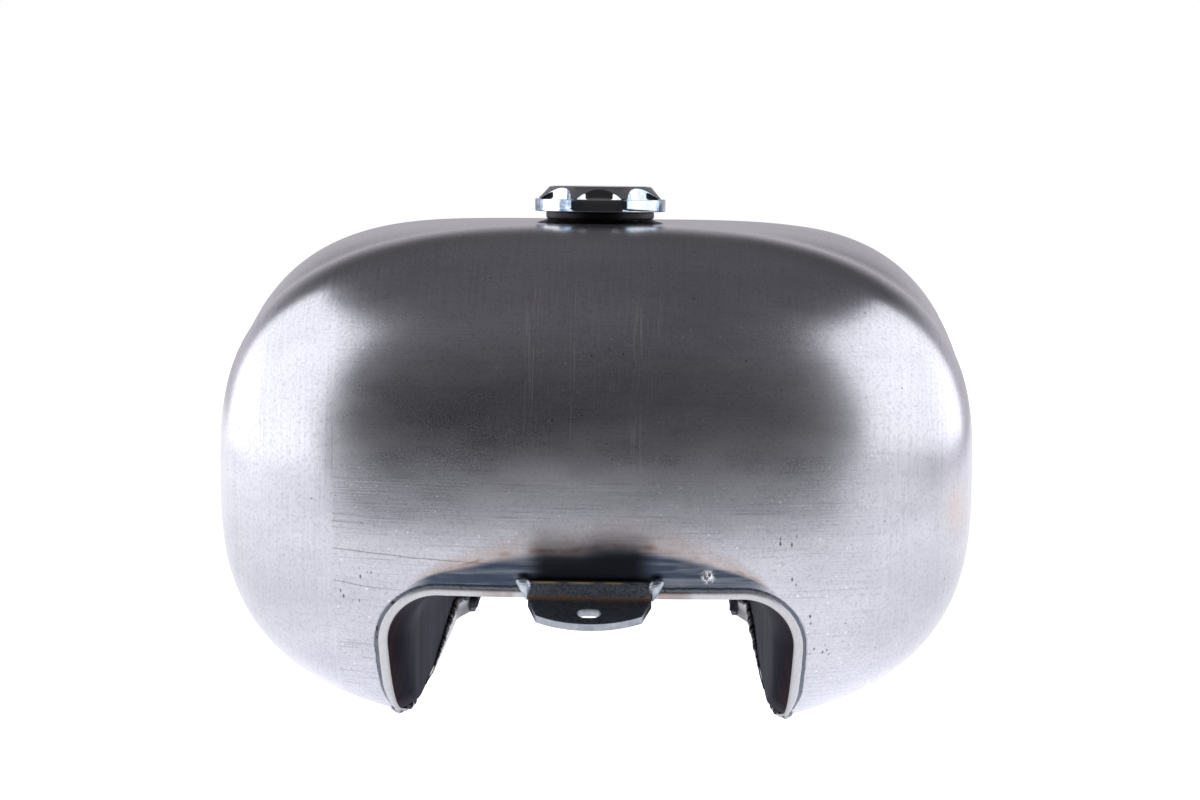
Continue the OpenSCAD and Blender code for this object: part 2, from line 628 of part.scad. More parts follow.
module outlet_weld() {
    steps = 24;
    rings = [for (k = [0:steps - 1]) boss_ring(360 * k / steps)];
    n = len(rings[0]);
    points = [for (r = rings) for (p = r) p];
    quads = [for (k = [0:steps - 1]) for (s = [0:n - 1])
        let (a = k * n, b = ((k + 1) % steps) * n, t = (s + 1) % n) [a + s, a + t, b + t, b + s]];
    color("slategray") polyhedron(points, [for (q = quads) each [[q[0], q[1], q[2]], [q[0], q[2], q[3]]]]);
}

module outlet_boss_right() {
    outlet_boss(outlet_x);
}

module outlet_boss_left() {
    outlet_boss(-outlet_x);
}

module outlet_weld_right() {
    outlet_weld();
}

module outlet_weld_left() {
    mirror([1, 0, 0]) outlet_weld();
}

shell_left();
shell_right();
centre_weld();
tunnel_front();
tunnel_rear();
tunnel_joint_weld();
front_mouth_weld();
rear_mouth_weld();
seam_weld_left();
seam_weld_right();
front_bracket();
front_bracket_welds();
rear_bracket();
rear_bracket_welds();
filler_neck();
filler_weld();
outlet_boss_left();
outlet_boss_right();
outlet_weld_left();
outlet_weld_right();
cap_gasket();
cap_body();
vent_retainer();
vent_spring();
vent_ball();
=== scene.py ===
"""Looks of a bare-steel motorcycle fuel tank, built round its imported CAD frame. Lengths are in
millimetres until a mesh is made, and the front faces -Y."""

import math

import bmesh
import bpy
import numpy as np
from mathutils import Matrix, Vector, noise


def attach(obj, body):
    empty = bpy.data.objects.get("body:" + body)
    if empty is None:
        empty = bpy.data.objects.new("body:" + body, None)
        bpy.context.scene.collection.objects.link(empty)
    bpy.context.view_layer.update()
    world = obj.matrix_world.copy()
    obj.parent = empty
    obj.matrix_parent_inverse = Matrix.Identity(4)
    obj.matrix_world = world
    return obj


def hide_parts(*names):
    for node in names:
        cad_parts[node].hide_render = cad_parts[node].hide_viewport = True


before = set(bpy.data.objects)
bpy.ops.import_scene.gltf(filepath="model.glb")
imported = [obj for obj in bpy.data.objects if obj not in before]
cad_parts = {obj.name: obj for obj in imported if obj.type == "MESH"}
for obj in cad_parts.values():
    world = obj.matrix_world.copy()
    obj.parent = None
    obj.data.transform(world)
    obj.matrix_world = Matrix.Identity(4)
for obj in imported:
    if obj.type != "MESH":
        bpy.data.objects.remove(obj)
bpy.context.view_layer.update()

MM = 0.001

# ------------------------------------------------------------------ sizes of the CAD model
BODY_W, BODY_H, WAIST_Z = 309, 200, 99
NOSE_Y, TAIL_Y = -255, 255
NOSE_L, TAIL_L = 86, 34
TAIL_W, TAIL_H = 204, 180
FRONT_Y, REAR_Y = NOSE_Y + NOSE_L, TAIL_Y - TAIL_L
KNEE_DEPTH = 0.13
SHEET_T = 1.2
TUNNEL_W, TUNNEL_REAR_W, TUNNEL_H, TUNNEL_R = 144, 132, 57, 21
MOUTH_W, MOUTH_H, REAR_MOUTH_H = 158, 59.4, 54
REAR_MOUTH_IN = 1.4
LIP_W = 4.4
JOINT_Y, TAPER_L, LAP = 45, 34, 8
TURN_UP, FOOT, TIP_Z, TUNNEL_FOOT_Z = 3.1, 8, 1.2, 3.2
BODY_POWER, UPPER_SWELL, NOSE_POWER, TAIL_POWER = 2.8, 2.4, 2.3, 2.4
FALL_START = 0.27
REAR_INSET = SHEET_T + 0.2
FLARE_END, FLARE_LEAST = NOSE_Y + 66, 24
FILLER_Y = -138
NECK_R = 21
HOLE_R = NECK_R + 2.8
RIM_T = 1.6
SEAM_HALF = 0.5
SEAM_START = -150
ARCH_STEPS, ARCH_SIDE, ARCH_CORNER = 24, 6, 8
KNEE_START, KNEE_RUN, KNEE_END, KNEE_END_DEPTH = 0.2, 0.34, 0.86, 0.6
KNEE_LOW_Z, KNEE_LOW_RUN, KNEE_HIGH_Z, KNEE_HIGH_RUN = 20, 45, 108, 44
OUTLET_X, OUTLET_Y, OUTLET_R = 91, 10, 9
THREAD_PITCH = 4

# ------------------------------------------------------------------ how finely the skins are made
FINE = 6                # columns for each step round an arch
NOSE_ROWS, BODY_ROWS, TAIL_ROWS = 56, 64, 36
EDGE_CROWD = 2.2
WAVE = 0.13             # height of the hand-worked unevenness of the panels


# ------------------------------------------------------------------ shape of the body
def mix(a, b, t):
    return a + (b - a) * t


def ease(t):
    t = np.clip(t, 0, 1)
    return t * t * (3 - 2 * t)


def along(y):
    return np.clip((y - FRONT_Y) / (REAR_Y - FRONT_Y), 0, 1)


def tunnel_half(y):
    return mix(TUNNEL_W, TUNNEL_REAR_W, ease((y - JOINT_Y + TAPER_L) / TAPER_L)) / 2


def edge_x(y):
    return tunnel_half(y) + SHEET_T + 0.3


def foot_x(y):
    return tunnel_half(y) + FOOT


def half_w(y):
    return mix(BODY_W, TAIL_W, ease(along(y))) / 2


def up(y):
    return mix(BODY_H, TAIL_H, ease((along(y) - FALL_START) / (1 - FALL_START))) - WAIST_Z


def n_up(y):
    return BODY_POWER + UPPER_SWELL * np.sin(math.pi * along(y))


def drop_share(x, y):
    return (1 - (np.minimum(x, half_w(y)) / half_w(y)) ** BODY_POWER) ** (1 / BODY_POWER)


def down(y):
    return WAIST_Z / drop_share(foot_x(y), y)


def turned(x, y, z):
    """Height of the skin with its lower edge rolled up beside the tunnel."""
    roll = TURN_UP * ((foot_x(y) - x) / (foot_x(y) - edge_x(y))) ** 2
    return np.where((z > WAIST_Z / 4) | (x > foot_x(y)), z, roll)


def knee(y, z):
    """Share of the half width that the knee recess takes."""
    deep = KNEE_DEPTH * ease((along(y) - KNEE_START) / KNEE_RUN)
    deep = deep * mix(1, KNEE_END_DEPTH, ease((along(y) - KNEE_END) / 0.14))
    low, high = ease((z - KNEE_LOW_Z) / KNEE_LOW_RUN), ease((z - KNEE_HIGH_Z) / KNEE_HIGH_RUN)
    return deep * low * (1 - high)


def outline(s, y):
    """Section of the body at y, for s from 0 beside the tunnel to 1 at the crown."""
    low = np.arctan2(-down(y) * drop_share(edge_x(y), y), edge_x(y))
    a = mix(low, math.pi / 2, s ** 1.3)
    h = np.where(a > 0, up(y), down(y))
    n = np.where(a > 0, n_up(y), BODY_POWER)
    r = ((np.abs(np.cos(a)) / half_w(y)) ** n + (np.abs(np.sin(a)) / h) ** n) ** (-1 / n)
    return np.maximum(SEAM_HALF, r * np.cos(a)), WAIST_Z + r * np.sin(a)


def face(front, x, z):
    """The rounded end's depth along Y at a point of its outline's inside."""
    y = FRONT_Y if front else REAR_Y
    h = np.where(z > WAIST_Z, up(y), down(y))
    n = BODY_POWER
    reach = np.minimum(1, (np.abs(x) / half_w(y)) ** n + (np.abs(z - WAIST_Z) / h) ** n)
    if front:
        return FRONT_Y - NOSE_L * (1 - reach) ** (1 / NOSE_POWER)
    return REAR_Y + TAIL_L * (1 - reach) ** (1 / TAIL_POWER)


def arch(s, foot_half, half, high, r, low):
    """Point of an arch, for s from 0 at its foot to 1 at its crown."""
    i = s * ARCH_STEPS
    side = np.clip(i / ARCH_SIDE, 0, 1)
    turn = np.clip((i - ARCH_SIDE) / ARCH_CORNER, 0, 1) * math.pi / 2
    roof = np.clip((i - ARCH_SIDE - ARCH_CORNER) / (ARCH_STEPS - ARCH_SIDE - ARCH_CORNER), 0, 1)
    x = np.where(i <= ARCH_SIDE, mix(foot_half, half, side), half - r + r * np.cos(turn))
    z = np.where(i <= ARCH_SIDE, mix(low, high - r, side), high - r + r * np.sin(turn))
    return np.where(roof > 0, (half - r) * (1 - roof), x), np.where(roof > 0, high, z)


def mouth(front, s, offset):
    """Edge of a mouth, moved outwards over the end's face by an offset."""
    o = offset * mix(0.35, 1, ease(s * ARCH_STEPS / 3))
    half = MOUTH_W / 2 if front else TUNNEL_REAR_W / 2 - REAR_MOUTH_IN
    high = MOUTH_H if front else REAR_MOUTH_H
    return arch(s, half - 1 + o, half + o, high + o, TUNNEL_R + o, TIP_Z)


def over_face(front, x, z, high):
    """Point above an end's face by a height along the face's own normal."""
    d = 0.05
    y = face(front, x, z)
    s = -1 if front else 1
    sx = (face(front, x + d, z) - face(front, x - d, z)) / (2 * d)
    sz = (face(front, x, z + d) - face(front, x, z - d)) / (2 * d)
    normal = np.stack([-s * sx, np.full_like(sx, s), -s * sz], -1)
    normal /= np.linalg.norm(normal, axis=-1, keepdims=True)
    return np.stack([x, y, z], -1) + np.asarray(high)[..., None] * normal


def columns():
    return np.linspace(0, 1, ARCH_STEPS * FINE + 1)


def end_row(front, s, u):
    """Row of skin points on an end, from the mouth's edge at u = 0 to the body at u = 1."""
    t = 1 - (1 - u) ** EDGE_CROWD
    y = FRONT_Y if front else REAR_Y
    mx, mz = mouth(front, s, LIP_W)
    ex, ez = outline(s, y)
    x, z = mix(mx, ex, t), mix(mz, ez, t)
    py = np.full_like(x, y) if t == 1 else face(front, x, z)
    px = np.maximum(SEAM_HALF, x * (1 - knee(y, z) * t))
    px = np.where(s == 1, SEAM_HALF, px)
    return np.stack([px, py, mix(np.maximum(z, 0), turned(x, y, z), t)], -1)


def body_row(s, y):
    x, z = outline(s, y)
    px = np.maximum(SEAM_HALF, x * (1 - knee(y, z)))
    return np.stack([px, np.full_like(x, y), turned(x, y, z)], -1)


def skin_grid():
    """Outside of the right half of the body, rows from the front mouth to the rear mouth."""
    s = columns()
    rows = [end_row(True, s, u) for u in np.linspace(0, 1, NOSE_ROWS + 1)]
    rows += [body_row(s, y) for y in np.linspace(FRONT_Y, REAR_Y, BODY_ROWS + 1)[1:]]
    rows += [end_row(False, s, u) for u in np.linspace(1, 0, TAIL_ROWS + 1)[1:]]
    return np.array(rows)


def grid_normals(g):
    """Unit normals of a grid of points, towards its first side."""
    du = np.gradient(g, axis=1)
    dv = np.gradient(g, axis=0)
    n = np.cross(dv, du)
    size = np.linalg.norm(n, axis=-1, keepdims=True)
    return n / np.maximum(size, 1e-9)


def wave(points, size, seed):
    """Smooth noise between -1 and 1 at each point, with features of a size in millimetres."""
    flat = points.reshape(-1, 3) / size + seed
    return np.array([noise.noise(Vector(p)) for p in flat]).reshape(points.shape[:-1])


# ------------------------------------------------------------------ meshes
def grid_quads(rows, cols, start=0, closed=False):
    j, i = np.mgrid[0:rows - 1, 0:cols if closed else cols - 1]
    a = start + j * cols + i
    b = start + j * cols + (i + 1) % cols
    return np.stack([a, b, b + cols, a + cols], -1).reshape(-1, 4)


def add_object(name, data):
    made = bpy.data.objects.new(name, data)
    bpy.context.scene.collection.objects.link(made)
    return made


def evaluated_mesh(piece):
    """Mesh of an object with its modifiers, or a curve's bevel, applied."""
    graph = bpy.context.evaluated_depsgraph_get()
    return bpy.data.meshes.new_from_object(piece.evaluated_get(graph), depsgraph=graph)


def make_piece(name, points, quads, materials, indices=None, sharp=35, **attributes):
    """Mesh object from millimetre points and quads, smooth but for its sharp edges."""
    mesh = bpy.data.meshes.new(name)
    mesh.from_pydata((np.asarray(points) * MM).tolist(), [], [list(map(int, q)) for q in quads])
    for m in materials:
        mesh.materials.append(m)
    if indices is not None:
        mesh.polygons.foreach_set("material_index", np.asarray(indices, np.int32))
    for key, values in attributes.items():
        layer = mesh.attributes.new(key, "FLOAT", "POINT")
        layer.data.foreach_set("value", np.asarray(values, np.float32).ravel())
    mesh.update()
    mesh.shade_smooth()
    mesh.set_sharp_from_angle(angle=math.radians(sharp))
    return add_object(name, mesh)


def sheet(outside, inside):
    """Points and quads of a closed sheet between two grids; quads of the outside come first."""
    rows, cols = outside.shape[:2]
    n = rows * cols
    points = np.concatenate([outside.reshape(-1, 3), inside.reshape(-1, 3)])
    top = grid_quads(rows, cols)
    j = np.arange(rows - 1) * cols
    i = np.arange(cols - 1)
    left = np.stack([j + cols, j + cols + n, j + n, j], -1)
    right = np.stack([j, j + n, j + n + cols, j + cols], -1) + cols - 1
    first = np.stack([i, i + n, i + n + 1, i + 1], -1)
    last = np.stack([i + 1, i + n + 1, i + n, i], -1) + (rows - 1) * cols
    quads = np.concatenate([top, top[:, ::-1] + n, left, right, first, last])
    return points, quads


def bar(rings, closed=False):
    """Points and quads of a bar through rings, with flat ends unless it closes on itself."""
    rings = np.asarray(rings)
    count, sides = rings.shape[:2]
    points = rings.reshape(-1, 3)
    quads = grid_quads(count, sides, closed=True).tolist()
    if closed:
        a = (count - 1) * sides
        quads += [[a + k, a + (k + 1) % sides, (k + 1) % sides, k] for k in range(sides)]
    else:
        quads += [list(range(sides))[::-1], list(range((count - 1) * sides, count * sides))]
    return points, quads


def join(*parts):
    """Several (points, quads) as one."""
    points, quads, n = [], [], 0
    for p, q in parts:
        points.append(p)
        quads += [[k + n for k in f] for f in (q.tolist() if hasattr(q, "tolist") else q)]
        n += len(p)
    return np.concatenate(points), quads


def mirrored(points, quads):
    flip = np.array([-1, 1, 1])
    return points * flip, [list(q)[::-1] for q in quads]


def whole(half):
    """Arch from the foot at -X to the foot at +X, from its half at +X. Works on (..., n, 3)."""
    half = half.copy()
    half[..., -1, 0] = 0
    return np.concatenate([half * [-1, 1, 1], half[..., -2::-1, :]], axis=-2)


def revolve(profile, steps=128, centre=(0, 0)):
    """Points and quads of a closed profile of (radius, height) turned about a vertical axis."""
    profile = np.asarray(profile, float)
    a = np.arange(steps) * 2 * math.pi / steps
    ring = np.stack([np.cos(a), np.sin(a)], -1)
    x = centre[0] + ring[:, None, 0] * profile[None, :, 0]
    y = centre[1] + ring[:, None, 1] * profile[None, :, 0]
    z = np.broadcast_to(profile[None, :, 1], x.shape)
    return bar(np.stack([x, y, z], -1), closed=True)


def cut(piece, cutters):
    """Cuts upright cylinders, as (x, y, low, high, radius), out of a piece."""
    tools = []
    for x, y, low, high, r in cutters:
        bm = bmesh.new()
        bmesh.ops.create_cone(bm, cap_ends=True, segments=96, radius1=r * MM, radius2=r * MM,
                              depth=(high - low) * MM)
        bmesh.ops.translate(bm, verts=bm.verts, vec=Vector((x, y, (low + high) / 2)) * MM)
        mesh = bpy.data.meshes.new("cutter")
        bm.to_mesh(mesh)
        bm.free()
        tool = add_object("cutter", mesh)
        step = piece.modifiers.new("hole", "BOOLEAN")
        step.operation, step.object, step.solver = "DIFFERENCE", tool, "EXACT"
        tools.append(tool)
    mesh = evaluated_mesh(piece)
    piece.modifiers.clear()
    piece.data = mesh
    for tool in tools:
        bpy.data.objects.remove(tool)


def place(piece, body, node):
    """Says which body a piece rides on, and hides the CAD node it replaces."""
    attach(piece, body)
    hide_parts(node)


def make_weld(name, node, points, quads, materials, indices=None, sharp=60, **attributes):
    """A weld, which rides on the tank and replaces a CAD node."""
    piece = make_piece(name, points, quads, materials, indices, sharp, **attributes)
    place(piece, "tank", node)


# ------------------------------------------------------------------ materials
PANEL_EDGE = -0.0995    # left edge of the sanded panel on the nose, in metres
KNURL_SCALE = 520
STRAW, SOOT = (0.42, 0.33, 0.2), (0.012, 0.012, 0.016)


class Nodes:
    """A node tree, and short names for the nodes it is built from."""

    def __init__(self, tree):
        self.tree = tree

    def node(self, kind, inputs=(), **settings):
        """New node with its settings, and with its inputs from (name or index, value) pairs."""
        made = self.tree.nodes.new(kind)
        for key, value in settings.items():
            setattr(made, key, value)
        for key, value in inputs:
            self.plug(made.inputs[key], value)
        return made

    def plug(self, socket, value):
        if isinstance(value, bpy.types.NodeSocket):
            self.tree.links.new(value, socket)
        elif hasattr(value, "__len__") and len(value) == 3 and socket.type == "RGBA":
            socket.default_value = (*value, 1)
        else:
            socket.default_value = value

    def math(self, kind, a, b=0.0, c=0.0):
        return self.node("ShaderNodeMath", enumerate((a, b, c)), operation=kind).outputs[0]

    def linear(self, value, times, plus):
        return self.math("MULTIPLY_ADD", value, times, plus)

    def chain(self, kind, first, *others):
        for value in others:
            first = self.math(kind, first, value)
        return first

    def product(self, *values):
        return self.chain("MULTIPLY", *values)

    def either(self, *values):
        return self.chain("MAXIMUM", *values)

    def fade(self, value, start, stop, low=0.0, high=1.0):
        """Smooth change from low to high as a value goes from start to stop."""
        inputs = (("Value", value), ("From Min", start), ("From Max", stop),
                  ("To Min", low), ("To Max", high))
        return self.node("ShaderNodeMapRange", inputs, interpolation_type="SMOOTHSTEP").outputs[0]

    def within(self, value, low, high, soft):
        """1 between two values, with soft ends."""
        rise = self.fade(value, low - soft, low + soft)
        return self.product(rise, self.fade(value, high + soft, high - soft))

    def blend(self, share, a, b):
        """Colour a where the share is 0, and b where it is 1."""
        return self.node("ShaderNodeMix", ((0, share), (6, a), (7, b)), data_type="RGBA").outputs[2]

    def parts(self, vector):
        return self.node("ShaderNodeSeparateXYZ", ((0, vector),)).outputs


class Paint(Nodes):
    """A material over the object's own coordinates."""

    def __init__(self, name, metallic=1.0, roughness=0.3):
        self.material = bpy.data.materials.new(name)
        self.material.use_nodes = True
        super().__init__(self.material.node_tree)
        self.shader = self.tree.nodes["Principled BSDF"]
        self.shader.inputs["Metallic"].default_value = metallic
        self.shader.inputs["Roughness"].default_value = roughness
        self.where = self.node("ShaderNodeTexCoord").outputs["Object"]

    def scaled(self, scale):
        """Object coordinates times a scale along each axis."""
        return self.node("ShaderNodeMapping", (("Vector", self.where), ("Scale", scale))).outputs[0]

    def noise(self, scale, detail=3, rough=0.55, vector=None):
        where = self.where if vector is None else vector
        inputs = (("Vector", where), ("Scale", scale), ("Detail", detail), ("Roughness", rough))
        return self.node("ShaderNodeTexNoise", inputs).outputs["Fac"]

    def grain(self, scale, detail=3, rough=0.7):
        """Noise drawn out along the axes whose scale is small."""
        return self.noise(1.0, detail, rough, self.scaled(scale))

    def dots(self, scale, radius, share, vector=None):
        """Scattered dots, in a share of the cells of a pattern: 1 inside a dot."""
        where = self.where if vector is None else vector
        n = self.node("ShaderNodeTexVoronoi", (("Vector", where), ("Scale", scale)))
        pick = self.fade(self.parts(n.outputs["Color"])[0], 1 - share, 1.01 - share)
        return self.product(self.fade(n.outputs["Distance"], radius, radius * 0.4), pick)

    def attribute(self, name):
        return self.node("ShaderNodeAttribute", attribute_name=name).outputs["Fac"]

    def near(self, centre, inner, outer):
        """1 within an inner distance of a point, falling to 0 at an outer distance, in metres."""
        n = self.node("ShaderNodeVectorMath", ((0, self.where), (1, centre)), operation="DISTANCE")
        return self.fade(n.outputs["Value"], outer, inner)

    def bump(self, height, distance, strength=1.0, normal=None):
        inputs = [("Strength", strength), ("Distance", distance), ("Height", height)]
        if normal is not None:
            inputs.append(("Normal", normal))
        return self.node("ShaderNodeBump", inputs).outputs[0]

    def finish(self, color, roughness, normal):
        for key, value in (("Base Color", color), ("Roughness", roughness), ("Normal", normal)):
            self.plug(self.shader.inputs[key], value)
        return self.material


def sanded(p, z, panel):
    """Colour and grain of sheet that was sanded by hand, across inside a panel and up beside it."""
    mottle = p.grain((9, 14, 24), 4, 0.62)
    grain = p.noise(780, 2, 0.75)
    across = p.grain((22, 24, 1450), 3, 0.7)
    upright = p.grain((1450, 22, 20), 3, 0.7)
    brush = p.blend(panel, upright, across)
    color = p.blend(p.fade(mottle, 0.3, 0.7), (0.58, 0.585, 0.66), (0.72, 0.725, 0.80))
    color = p.blend(p.fade(brush, 0.42, 0.70, 0.0, 0.22), color, (0.38, 0.38, 0.44))
    color = p.blend(p.fade(grain, 0.46, 0.72, 0.0, 0.34), color, (0.30, 0.295, 0.34))
    lines = p.product(p.fade(across, 0.60, 0.69), panel, p.fade(z, 0.112, 0.098), 0.30)
    color = p.blend(lines, color, (0.20, 0.19, 0.21))
    rough = p.linear(mottle, 0.16, 0.125)
    rough = p.linear(panel, 0.045, rough)
    return color, rough, brush, grain


def thin_line(p, x, z, start, stop, level, slope, half):
    """Long scratch across the nose, from one x to another, that wavers a little: 1 on it."""
    waver = p.linear(p.noise(38, 1, 0.5), 0.0022, level - 0.0011)
    off = p.math("ABSOLUTE", p.math("SUBTRACT", z, p.linear(x, slope, waver)))
    ends = (p.fade(x, start - 0.0008, start), p.fade(x, stop, stop - 0.03))
    return p.product(p.fade(off, half, half * 0.3), *ends)


def scratches(p, x, z):
    """Dark scratches across the nose's lower left, and bright ones that run up its middle."""
    # each scratch as (where it ends, height at the middle line, slope, half its width)
    lines = ((-0.074, 0.0896, 0.0, 0.0003), (-0.078, 0.0868, 0.0, 0.0005), (-0.082, 0.0826, -0.02, 0.0003),
             (0.0, 0.0706, -0.055, 0.0003), (-0.060, 0.0560, -0.07, 0.0003), (0.02, 0.1020, -0.02, 0.0003))
    dark = p.either(*[thin_line(p, x, z, PANEL_EDGE, *line) for line in lines])
    hair = p.fade(p.grain((1700, 40, 30), 2, 0.7), 0.52, 0.62)
    low_hair = p.fade(p.grain((1900, 60, 60), 2, 0.7), 0.56, 0.66)
    # each band of bright scratches as (left, right, side softness, low, high)
    bands = ((-0.0262, -0.0215, 0.0012, 0.130, 0.178), (-0.0085, -0.0065, 0.0008, 0.120, 0.172),
             (0.0148, 0.0190, 0.0010, 0.112, 0.168))
    bright = p.either(*[p.product(p.within(x, left, right, soft), p.within(z, low, high, 0.012))
                        for left, right, soft, low, high in bands])
    faint = p.product(p.within(x, -0.03, 0.03, 0.006), p.within(z, 0.118, 0.178, 0.012), 0.35)
    return dark, p.either(p.product(bright, hair, 0.95), p.product(faint, low_hair))


def heat_tint(p, color, x, y, lip):
    """Blue oxide over a mouth's roof with a brown fringe, and, as the mask named scale, a painted dark
    reflection of the front bracket on the steel above it.
    """
    waver = p.linear(p.grain((26, 30, 120), 3, 0.6), 5.0, -2.5)
    away = p.math("ABSOLUTE", x)
    reach = p.product(p.fade(x, -0.012, 0.012, 14.0, 16.5), p.fade(away, 0.020, 0.075, 1.0, 0.36),
                      p.fade(away, 0.056, 0.078, 1.0, 0.1))
    share = p.math("DIVIDE", p.linear(waver, 0.6, lip), reach)
    roof = p.fade(away, 0.074, 0.060)
    haze = p.product(p.fade(share, 1.9, 1.05), p.fade(share, 0.5, 0.9), p.noise(70, 3, 0.6), roof, 0.9)
    fringe = p.product(p.within(share, 0.93, 1.05, 0.07), p.fade(p.noise(90, 2), 0.38, 0.6), roof, 0.75)
    streak = p.fade(p.grain((20, 30, 330), 3, 0.65), 0.40, 0.66, 1.0, 0.80)
    # The blue is heat oxide. It is also made darker to paint the shade of the floor under the tank reflected
    # there.
    blue = p.product(p.fade(share, 1.02, 0.70), roof, streak)
    color = p.blend(haze, color, (0.44, 0.34, 0.30))
    color = p.blend(blue, color, p.blend(p.noise(120, 3, 0.6), (0.025, 0.038, 0.062), (0.085, 0.108, 0.155)))
    color = p.blend(fringe, color, (0.30, 0.165, 0.105))
    # scale is a painted dark reflection of the bracket: near-black, as wide as the bracket, fading upwards
    # over the nose
    edge = p.math("ADD", x, p.linear(p.noise(130, 2), 0.003, -0.0015))
    top = p.linear(p.fade(edge, -0.0050, 0.0050), -2.5, p.linear(waver, 1.3, lip))
    scale = p.product(p.within(edge, -0.0225, 0.0221, 0.0058), p.fade(top, 27, 7), p.fade(y, -0.15, -0.2))
    color = p.blend(p.product(scale, 0.97), color, (0.012, 0.013, 0.018))
    rim = p.product(p.fade(p.linear(waver, 0.2, lip), 1.3, 0.2), 0.6)
    return p.blend(rim, color, (0.10, 0.115, 0.14)), scale


def raw_steel():
    """Pressed sheet steel, sanded by hand, with heat tint by the mouths, a few rust specks, painted shade on
    its turned-up edge by the tunnel and a painted dark reflection of the front bracket.
    """
    p = Paint("raw_steel")
    x, y, z = p.parts(p.where)[0:3]
    edge = p.fade(x, PANEL_EDGE - 0.0003, PANEL_EDGE + 0.0003)
    panel = p.product(edge, p.fade(x, 0.125, 0.095), p.fade(y, -0.12, -0.17), p.fade(z, 0.176, 0.158))
    color, rough, brush, grain = sanded(p, z, panel)
    dark, bright = scratches(p, x, z)
    front = p.fade(y, -0.12, -0.17)
    color = p.blend(p.product(dark, front, 0.5), color, (0.15, 0.12, 0.13))
    pits = p.either(p.dots(260, 0.15, 0.5), p.dots(120, 0.085, 0.4))
    shiny = p.either(p.product(bright, front), p.product(pits, panel, 0.7))
    color = p.blend(shiny, color, (0.95, 0.95, 0.98))
    color = p.blend(p.product(p.dots(150, 0.075, 0.3), 0.8), color, (0.07, 0.05, 0.06))
    warm = p.product(p.near((0.139, -0.205, 0.090), 0.002, 0.017), 0.45)
    color = p.blend(warm, color, (0.74, 0.55, 0.46))
    # Painted shade: darker colour on the skin's turned-up lower edge beside the tunnel, near the joint
    painted_shade = p.product(p.fade(y, -0.002, 0.012), p.fade(z, 0.009, 0.004),
                      p.fade(p.math("ABSOLUTE", x), 0.082, 0.077), 0.9)
    color = p.blend(painted_shade, color, (0.10, 0.11, 0.14))
    # scale comes back as the mask of the painted dark reflection of the bracket
    color, scale = heat_tint(p, color, x, y, p.attribute("lip"))
    # rust patches as (x, y, z, radius)
    places = ((0.0745, -0.2495, 0.082, 0.007), (0.079, -0.248, 0.069, 0.007),
              (0.085, -0.243, 0.052, 0.006), (0.088, -0.235, 0.036, 0.008),
              (-0.093, -0.242, 0.058, 0.008), (-0.0865, -0.2455, 0.0665, 0.006))
    patches = p.either(*[p.near(at[:3], 0.25 * at[3], at[3]) for at in places])
    rust = p.product(p.dots(620, 0.34, 0.5, p.scaled((1, 1, 0.45))), patches)
    color = p.blend(p.product(rust, 0.9), color, (0.085, 0.035, 0.026))
    nick = p.product(p.near((0.0450, -0.2525, 0.0685), 0.0008, 0.0036),
                     p.fade(p.noise(700, 3, 0.7), 0.44, 0.56))
    color = p.blend(nick, color, (0.86, 0.87, 0.90))
    rough = p.linear(p.either(rust, scale, dark), 0.16, rough)
    rough = p.linear(grain, 0.06, rough)
    normal = p.bump(brush, 0.00003, 0.6, p.bump(p.noise(34, 2, 0.5), 0.0006, 0.25))
    return p.finish(color, rough, p.bump(grain, 0.00003, 0.4, normal))


def ground_lip():
    """Edge of a mouth, ground bright across its width."""
    p = Paint("ground_lip")
    marks = p.grain((900, 900, 260), 3, 0.7)
    color = p.blend(marks, (0.46, 0.46, 0.50), (0.72, 0.72, 0.76))
    x = p.parts(p.where)[0]
    warm = p.product(p.fade(p.math("ABSOLUTE", x), 0.046, 0.034), p.fade(p.noise(70, 2), 0.42, 0.6))
    color = p.blend(p.product(warm, 0.7), color, (0.33, 0.25, 0.24))
    return p.finish(color, p.linear(marks, 0.12, 0.30), p.bump(marks, 0.00004, 0.5))


def mill_steel():
    """The tunnel's inside: dark rolled sheet with upright draw lines and a brown heat tint."""
    p = Paint("mill_steel")
    p.shader.inputs["Specular Tint"].default_value = (0.50, 0.50, 0.57, 1)
    _, y, z = p.parts(p.where)[0:3]
    draw = p.grain((60, 620, 16), 4, 0.72)
    broad = p.grain((12, 60, 12), 3, 0.6)
    color = p.blend(p.fade(draw, 0.3, 0.7), (0.007, 0.007, 0.009), (0.040, 0.040, 0.049))
    pale = p.product(p.fade(y, -0.20, -0.05), p.fade(z, 0.022, 0.060), p.fade(broad, 0.25, 0.6), 0.9)
    color = p.blend(pale, color, p.blend(p.fade(draw, 0.35, 0.65), (0.20, 0.20, 0.23), (0.62, 0.63, 0.70)))
    dark = p.fade(p.grain((70, 900, 14), 2, 0.6), 0.60, 0.68)
    color = p.blend(p.product(dark, 0.8), color, (0.006, 0.006, 0.008))
    near = p.linear(p.noise(45, 3, 0.6), 16.0, p.attribute("lip"))
    brown = p.product(p.fade(near, 25, 8), p.fade(broad, 0.3, 0.55), 0.6)
    color = p.blend(brown, color, (0.060, 0.034, 0.030))
    rim = p.product(p.fade(p.attribute("lip"), 1.6, 0.4), 0.8)
    color = p.blend(rim, color, (0.045, 0.024, 0.020))
    rough = p.linear(broad, 0.20, 0.38)
    return p.finish(color, rough, p.bump(draw, 0.00005, 0.5))


def weld_bead(name, dark, light, straw, spots=0.6, rough_depth=0.0002):
    """Weld metal: rippled, oxidised grey-blue, with straw spots where it stayed hot."""
    p = Paint(name)
    patch = p.noise(160, 4, 0.65)
    color = p.blend(p.fade(patch, 0.38, 0.66), dark, light)
    hot = p.fade(p.noise(75, 2, 0.5), spots, spots + 0.05)
    color = p.blend(p.product(hot, 0.85), color, straw)
    rough = p.linear(patch, 0.3, 0.22)
    return p.finish(color, rough, p.bump(p.noise(700, 3, 0.6), rough_depth, 0.6))


